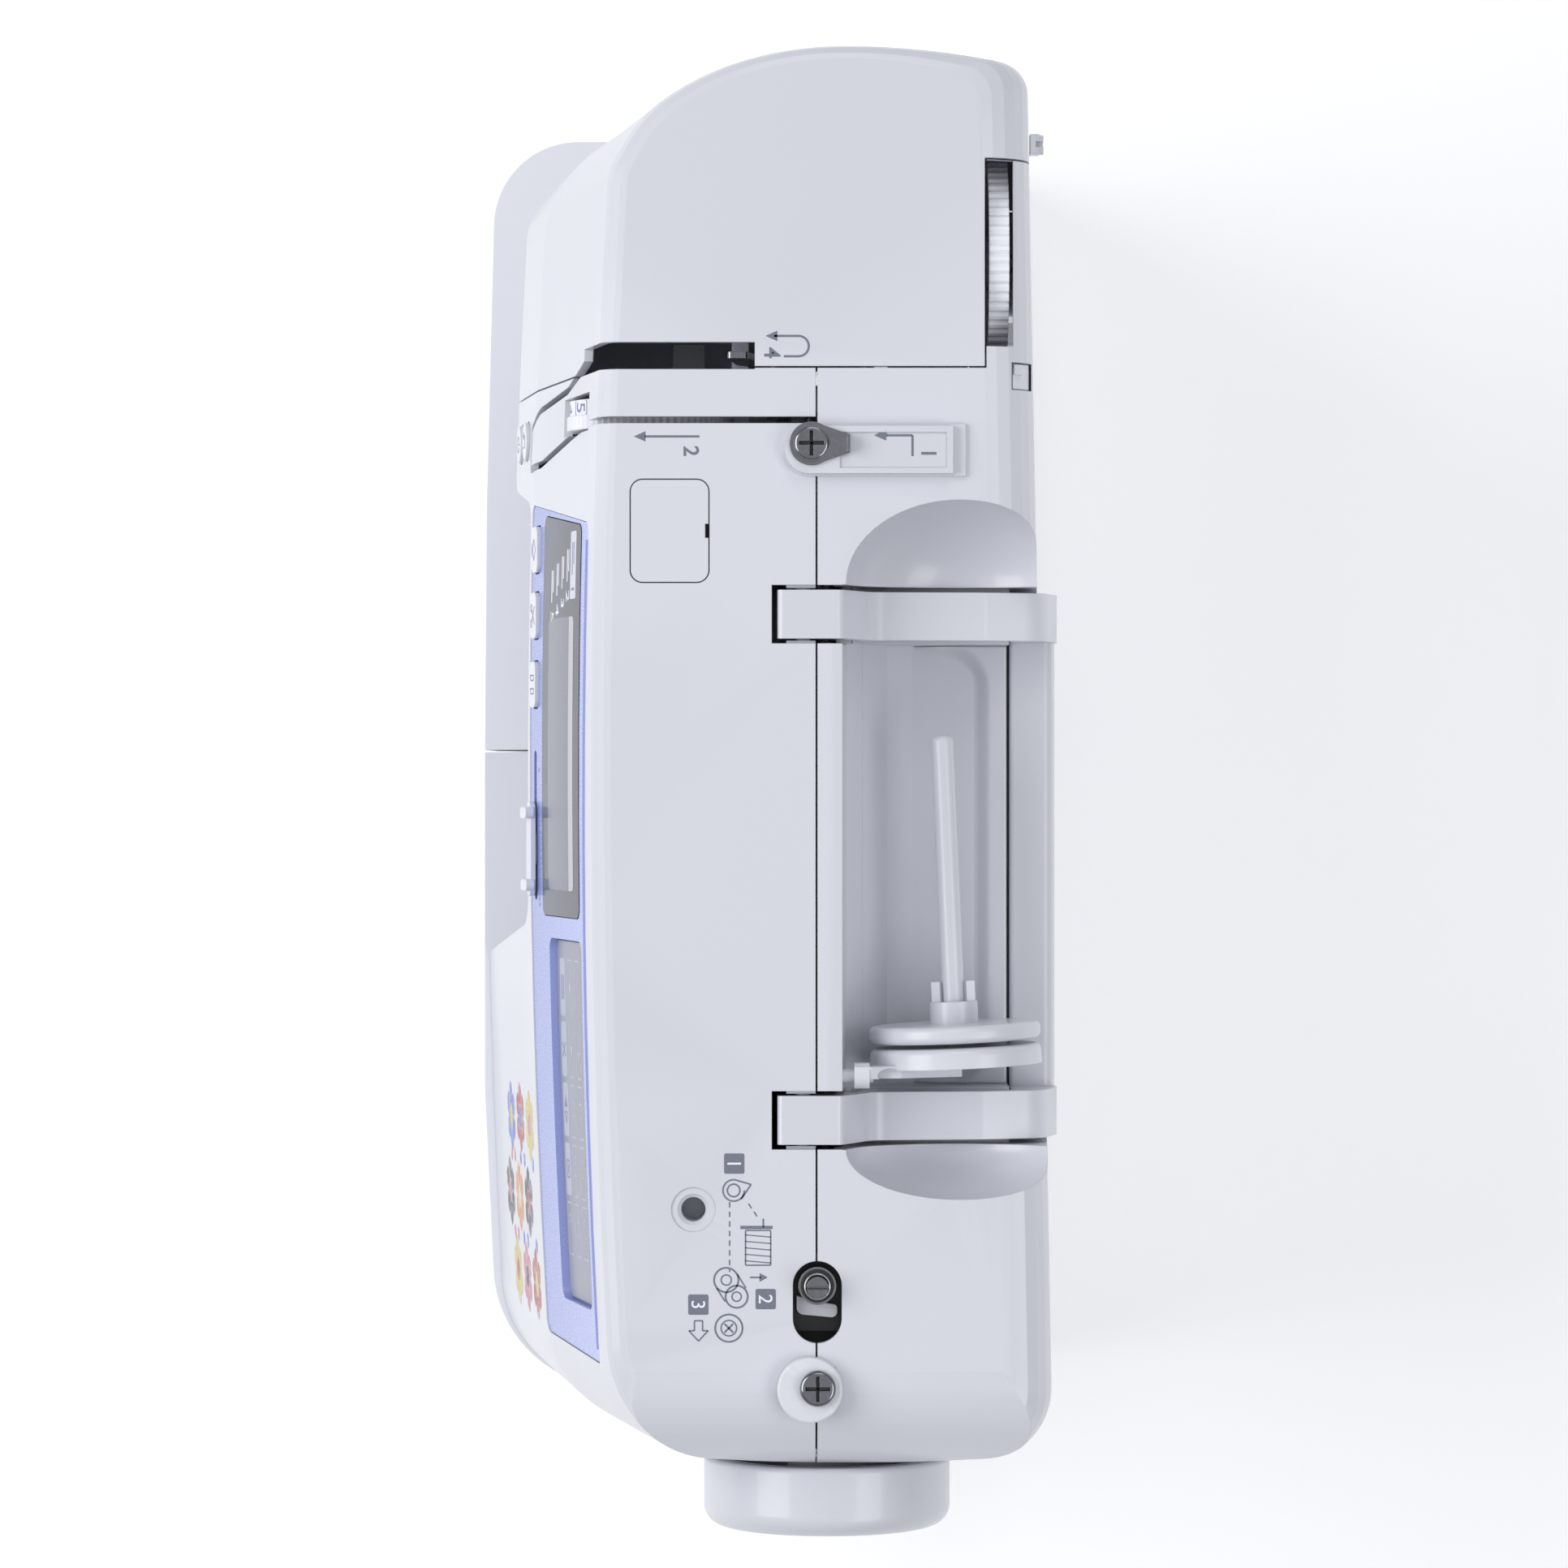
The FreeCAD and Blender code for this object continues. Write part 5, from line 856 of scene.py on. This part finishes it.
def hexagon(x, z, colour, size=HEX):
    corners = patch.disc((x, z), size * 0.95, 6, 30)
    for face in corners[0].link_faces:
        for loop in face.loops:
            loop[patch.tint] = (*CLOTH[colour], 1.0)


flowers = [(-23, 36, "lemon", "pink"), (0, 26, "navy", "rose"), (23, 37, "rose", "lemon"),
           (-24, 12, "rose", "sky"), (0, 2, "peach", "cream"), (23, 13, "pink", "navy"),
           (-23, -12, "sky", "lemon"), (0, -22, "navy", "pink"), (23, -11, "lemon", "rose")]
for x, z, petal, heart in flowers:
    hexagon(x, z, heart)
    for i in range(6):
        turn = math.radians(60 * i)
        hexagon(x + math.cos(turn) * HEX * math.sqrt(3),
                z + math.sin(turn) * HEX * math.sqrt(3), petal)
for x in (-11.8, 11.8):
    for z in (41.0, 19.0, 9.0, -6.0, -14.5):
        hexagon(x, z, "sky" if z > 0 else "pink", 2.4)
patch.lay("patchwork_transfer", "front", ["front_cover"], "casing", patchwork_finish(),
          "casing_white")
print("patchwork flowers:", len(flowers))

# %% [markdown]
# ## Numbers on the tension drum
#
# The tension dial has a number drum that shows in a window beside its milled rim. The numerals
# stand on the curved drum, so each flat numeral is turned about the dial's axle to its own place.
# A small frame marks the middle setting.

# %% Tension numbers
MIDDLE_TURN, TURN_STEP = 32, 22  # where the 5 stands above the front, and the next one
dial_low, dial_high = box_mm("tension_dial")
axle = (dial_low + dial_high) / 2
drum_radius = (dial_high.z - dial_low.z) / 2 - 0.8
drum_x = dial_low.x + 2.2


def on_drum(drawing, turn):
    """Bends a flat drawing round the drum, centred at an angle above the front."""
    for vert in drawing.bm.verts:
        angle = math.radians(turn) + vert.co.y / drum_radius
        reach = drum_radius + 0.02
        vert.co = Vector((drum_x + vert.co.x, axle.y - reach * math.cos(angle),
                          axle.z + reach * math.sin(angle))) * MM
    return drawing.bm


def from_axle(vert):
    return vert.co - Vector((vert.co.x, axle.y * MM, axle.z * MM))


whole = bmesh.new()
for i, word in enumerate("9876543210"):
    turn = MIDDLE_TURN + (4 - i) * TURN_STEP
    mark = Drawing().text(word, (0, 0), 4.4, 1.1)
    if word == "5":
        mark.plate((-1.95, -3.2), (1.95, 3.2), 0.3, 0.3)
    bmesh.ops.triangulate(mark.bm, faces=mark.bm.faces[:])
    part = bpy.data.meshes.new("part")
    on_drum(mark, turn).to_mesh(part)
    whole.from_mesh(part)
    bpy.data.meshes.remove(part)
face_outward(whole, from_axle)
for vert in extruded(whole):
    vert.co += from_axle(vert).normalized() * INK * MM
bmesh.ops.recalc_face_normals(whole, faces=whole.faces[:])
keep(whole, "tension_numbers", "tension", BLUE_INK)
print("drum radius:", round(drum_radius, 2))

# %% [markdown]
# ## Wire and thread
#
# The spring under the bobbin seat of the winder is a coil of wire. A small circle is swept round
# the axis step by step with `spin`, which also lifts it a little at each step. The lilac thread
# on the bobbin is a lathe shape with a rounded crown.

# %% Coil and thread
COIL_STEPS, LATHE_STEPS = 24, 72  # steps in one full turn


def coil(name, centre, radius, wire, turns, pitch, body, finish):
    """A spring around an upright axis, in millimetres."""
    bm = bmesh.new()
    place = Matrix.Translation((radius, 0, 0)) @ Matrix.Rotation(math.radians(90), 4, "X")
    ring = bmesh.ops.create_circle(bm, cap_ends=False, segments=8, radius=wire, matrix=place)
    edges = list({e for v in ring["verts"] for e in v.link_edges})
    steps = int(turns * COIL_STEPS)
    bmesh.ops.spin(bm, geom=[*ring["verts"], *edges], cent=(0, 0, 0), axis=(0, 0, 1),
                   dvec=(0, 0, pitch * turns / steps), angle=math.radians(360 * turns),
                   steps=steps, use_merge=False)
    bmesh.ops.holes_fill(bm, edges=[e for e in bm.edges if e.is_boundary], sides=8)
    return keep(to_metres(bm, centre), name, body, finish, smooth=True)


def lathe(name, profile, centre, body, finish):
    """A closed profile of (radius, height) pairs in millimetres, spun about an upright axis."""
    bm = bmesh.new()
    verts = [bm.verts.new((r, 0, z)) for r, z in profile]
    edges = [bm.edges.new((verts[i - 1], verts[i])) for i in range(len(verts))]
    bmesh.ops.spin(bm, geom=[*verts, *edges], cent=(0, 0, 0), axis=(0, 0, 1),
                   angle=math.radians(360), steps=LATHE_STEPS, use_merge=True)
    return keep(to_metres(bm, centre), name, body, finish, smooth=True)


spindle = middle_of("winder_spindle")
spindle_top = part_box("winder_spindle")[1].z / MM
coil("winder_spring", (*spindle, spindle_top - 6.1), radius=3.35, wire=0.28, turns=3.2, pitch=0.75,
     body="winder_pin", finish=finishes["steel"])


def thread_finish():
    finish = Finish("thread_lilac", roughness=0.7, sheen_weight=0.4)
    strand = finish.node("TexWave", {"bands_direction": "Z"},
                         {"Vector": finish.place(), "Scale": 900.0, "Distortion": 1.5})
    return finish.set(base_color=finish.mix(strand, (0.22, 0.16, 0.42), (0.40, 0.31, 0.62)),
                      normal=finish.relief(strand, 0.0002, 0.9))


wound = [(4.7, 1.1), (8.2, 1.1), (8.6, 2.2), (8.8, 5.9), (8.6, 9.6), (8.2, 10.8), (4.7, 10.8)]
lathe("bobbin_thread", wound, (*middle_of("bobbin"), box_mm("bobbin")[0].z), "bobbin_body",
      thread_finish())
print("wire and thread made")

# %% [markdown]
# ## Small fittings
#
# The winder's seat has a dark rubber washer that grips the bobbin. Dark blocks in the cross
# recesses of the two big screws are painted shade. Under the little window beside the pressure
# dial sits a pale insert with an upright nib that guides the thread.

# %% Washer, recesses and window insert
lathe("winder_washer", [(3.0, 0.02), (4.3, 0.02), (4.5, 0.25), (4.3, 0.5), (3.0, 0.5)],
      (*spindle, spindle_top - 6.6), "winder_pin", finishes["rubber_black"])

HEAD_RADIUS, SOFT_EDGE = 4.85, 0.1
CROSS_LENGTH, CROSS_WIDTH = 3.3, 0.45  # half the length and width of one arm of the cross
RECESS_FLOOR, RECESS_TOP = 1.25, 1.7  # above the seat of the screw
screw_low, screw_high = box_mm("cover_screws")
screws = [(screw_low.x + HEAD_RADIUS, screw_low.y + HEAD_RADIUS,
           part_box("guide_plate")[0].z / MM + 0.8),
          (screw_high.x - HEAD_RADIUS, screw_high.y - HEAD_RADIUS,
           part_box("winder_stopper")[1].z / MM + 0.3)]


def block(bm, low, high):
    """A block between two corners in millimetres, with its edges softened."""
    size = [b - a for a, b in zip(low, high)]
    centre = [(a + b) / 2 for a, b in zip(low, high)]
    made = bmesh.ops.create_cube(bm, size=1.0, matrix=Matrix.Translation(centre)
                                 @ Matrix.Diagonal((*size, 1)))
    edges = list({e for v in made["verts"] for e in v.link_edges})
    bmesh.ops.bevel(bm, geom=edges, offset=SOFT_EDGE, segments=3, profile=0.5, affect="EDGES",
                    material=-1)


# Painted shade: dark blocks fill the cross recesses of the screws.
recess_shade = bmesh.new()
for x, y, z in screws:
    for wide, deep in ((CROSS_LENGTH, CROSS_WIDTH), (CROSS_WIDTH, CROSS_LENGTH)):
        block(recess_shade, (x - wide, y - deep, z + RECESS_FLOOR),
              (x + wide, y + deep, z + RECESS_TOP))
keep(to_metres(recess_shade), "screw_recesses", "casing", finishes["rubber_black"])

BESIDE_WINDOW = 8.5  # from the dial to the cover on the window's far side
dial_corner = box_mm("pressure_dial")[1]


def cover_height(x, y):
    """How high the rear cover lies at a point, in millimetres."""
    above = Vector((x, y, HIGH_ABOVE)) * MM
    return surface("rear_cover").ray_cast(above, DOWN)[0].z / MM


def sunken(name, x, y, depth, thick, finish):
    """A patch in the window beside the dial, which follows the cover at a depth under it."""
    bm = bmesh.new()
    grid(bm, (sum(x) / 2, sum(y) / 2, 0), (x[1] - x[0], y[1] - y[0]), (2, 8))
    for vert in bm.verts:
        vert.co.z = cover_height(dial_corner.x + BESIDE_WINDOW, vert.co.y) - depth
    bmesh.ops.translate(bm, verts=extruded(bm), vec=(0, 0, -thick))
    keep(to_metres(bm), name, "casing", finish)


left, near = dial_corner.x - 0.3, dial_corner.y + 0.9
sunken("window_insert", (left, left + 6.8), (near, near + 4.6), 1.9, 1.4,
       finishes["slider_grey"])
sunken("window_nib", (left + 0.2, left + 3.0), (near + 0.4, near + 2.6), 0.5, 1.9,
       finishes["key_white"])
print("fittings made")

# %% [markdown]
# ## The rim of the spool bay
#
# The floor of the bay does not meet its rear edge squarely. A moulded rim rises along that edge
# and along both ends with a soft curve, and its inner corners are round. A fine grid takes its
# height from the distance to a rectangle with round corners, so one rule shapes the edge, the
# ends and the corners. Where the rim has no height the grid is cut away.

# %% Bay rim
CORNER, SLOPE, CREST = 8.0, 5.0, 3.6  # round of the inner corners, width and height of the rise
SIDE_INSET, REAR_INSET = 17.7, 14.1  # from the carrying handle's box to the rim
SIDE_WIDTH, REAR_WIDTH = 3.6, 9.0  # from the rim's outside to the floor of the bay
FRONT_END, FADE = 43.0, 8.0  # where the ends start and how far they rise over
CELL, SUNK, BURIED = 0.7, 0.05, 0.8  # a cell of the grid, depths of top and underside
handle_low, handle_high = box_mm("carrying_handle")
rim_x = (handle_low.x + SIDE_INSET, handle_high.x - SIDE_INSET)
rim_y = (FRONT_END, handle_high.y - REAR_INSET)
deep_x, deep_y = (rim_x[0] + SIDE_WIDTH, rim_x[1] - SIDE_WIDTH), rim_y[1] - REAR_WIDTH


def eased(value):
    """A soft step from 0 to 1."""
    value = min(max(value, 0.0), 1.0)
    return value * value * (3 - 2 * value)


def rim_share(x, y):
    """How far up the rim a point lies, from 0 on the floor to 1 on the crest."""
    aside = max(deep_x[0] + CORNER - x, x - deep_x[1] + CORNER, 0.0)
    behind = max(y - deep_y + CORNER, 0.0)
    return (eased((math.hypot(aside, behind) - CORNER) / SLOPE)
            * eased((y - FRONT_END) / FADE))


bay_floor = cover_height(sum(rim_x) / 2, deep_y - 6.0)
rim = bmesh.new()
size = (rim_x[1] - rim_x[0], rim_y[1] - rim_y[0])
grid(rim, (sum(rim_x) / 2, sum(rim_y) / 2, 0), size, [int(side / CELL) for side in size])
share = {v: rim_share(v.co.x, v.co.y) for v in rim.verts}
flat = [f for f in rim.faces if max(share[v] for v in f.verts) <= 0]
for vert in rim.verts:
    vert.co.z = bay_floor - SUNK + CREST * share[vert]
bmesh.ops.delete(rim, geom=flat, context="FACES")
for vert in extruded(rim):
    vert.co.z = bay_floor - BURIED
piece = keep(to_metres(rim), "bay_rim", "casing", finishes["casing_white"])
for polygon in piece.data.polygons:  # the upright sides stay flat
    polygon.use_smooth = polygon.normal.z > 0.2
print("bay rim from", round(bay_floor, 1), "to", round(bay_floor + CREST, 1), "mm")

# %% [markdown]
# ## Seam guides on the needle plate
#
# The steel needle plate is engraved with lines that guide the edge of the cloth, numbered by
# their distance from the needle in millimetres.

# %% Needle plate marks
guides = Drawing(middle_of("needle"))
for far in (12, 15, 20, 25):
    guides.bar((far, -6.5), (far, 4.5), 0.25).bar((far, 9.5), (far, 22.5), 0.25)
for far in (15, 20):
    guides.text(str(far), (far + 0.1, 7.0), 2.2)
for far in (-15, -20, -25):
    guides.bar((far, -6.5), (far, 22.5), 0.25)
guides.lay("seam_guides", "top", ["needle_plate"], "casing", GREY_INK, "steel", thick=0.03)
print("seam guides laid")

# %% [markdown]
# ## The studio
#
# The floor is a plain pale sheet that is a little brighter than the machine, so the body stands
# out as a cool grey-white against it. Four softboxes light it. The strongest, on the operator's
# side, makes the leaning front the brightest part. One beyond the needle head and one behind the
# machine lift the far sides, and a wide one overhead evens out the top. A dim pale sky fills the
# rest.

# %% Floor, lights and sky
floor_bm = bmesh.new()
bmesh.ops.create_grid(floor_bm, x_segments=1, y_segments=1, size=4.0)
floor_mesh = bpy.data.meshes.new("studio_floor")
floor_bm.to_mesh(floor_mesh)
floor_bm.free()
floor = bpy.data.objects.new("studio_floor", floor_mesh)
bpy.context.scene.collection.objects.link(floor)
paper = Finish("studio_paper", roughness=0.9, emission_strength=0.2)
fibre = paper.noise(0.4, 2.0)
paper.set(base_color=paper.mix(fibre, (0.88, 0.88, 0.89), (0.90, 0.90, 0.90)),
          emission_color=paper.mix(fibre, (0.97, 0.98, 1.0), (1.0, 1.0, 1.0)))
floor_mesh.materials.append(paper.material)


AIM = Vector((0, 0, 0.1))
SOFTBOXES = {  # place, two sizes and watts
    "key_softbox": ((-0.2, -1.5, 1.5), (1.6, 1.2), 24),
    "head_softbox": ((-1.5, 0.2, 1.6), (1.0, 1.0), 5),
    "rear_softbox": ((0.5, 1.2, 1.7), (1.2, 0.8), 9.5),
    "ceiling_softbox": ((0.0, 0.3, 2.6), (3.0, 3.0), 7),
}
for name, (place, size, power) in SOFTBOXES.items():
    lamp = bpy.data.lights.new(name, "AREA")
    lamp.shape, (lamp.size, lamp.size_y), lamp.energy = "RECTANGLE", size, power
    holder = bpy.data.objects.new(name, lamp)
    holder.location = place
    holder.rotation_euler = (AIM - Vector(place)).to_track_quat("-Z", "Y").to_euler()
    bpy.context.scene.collection.objects.link(holder)

world = bpy.data.worlds.new("studio_sky")
world.use_nodes = True
sky = world.node_tree.nodes["Background"]
sky.inputs[0].default_value = (0.93, 0.95, 1.0, 1.0)
sky.inputs[1].default_value = 0.40
bpy.context.scene.world = world
bpy.context.scene.view_settings.view_transform = "Standard"
print("studio ready")
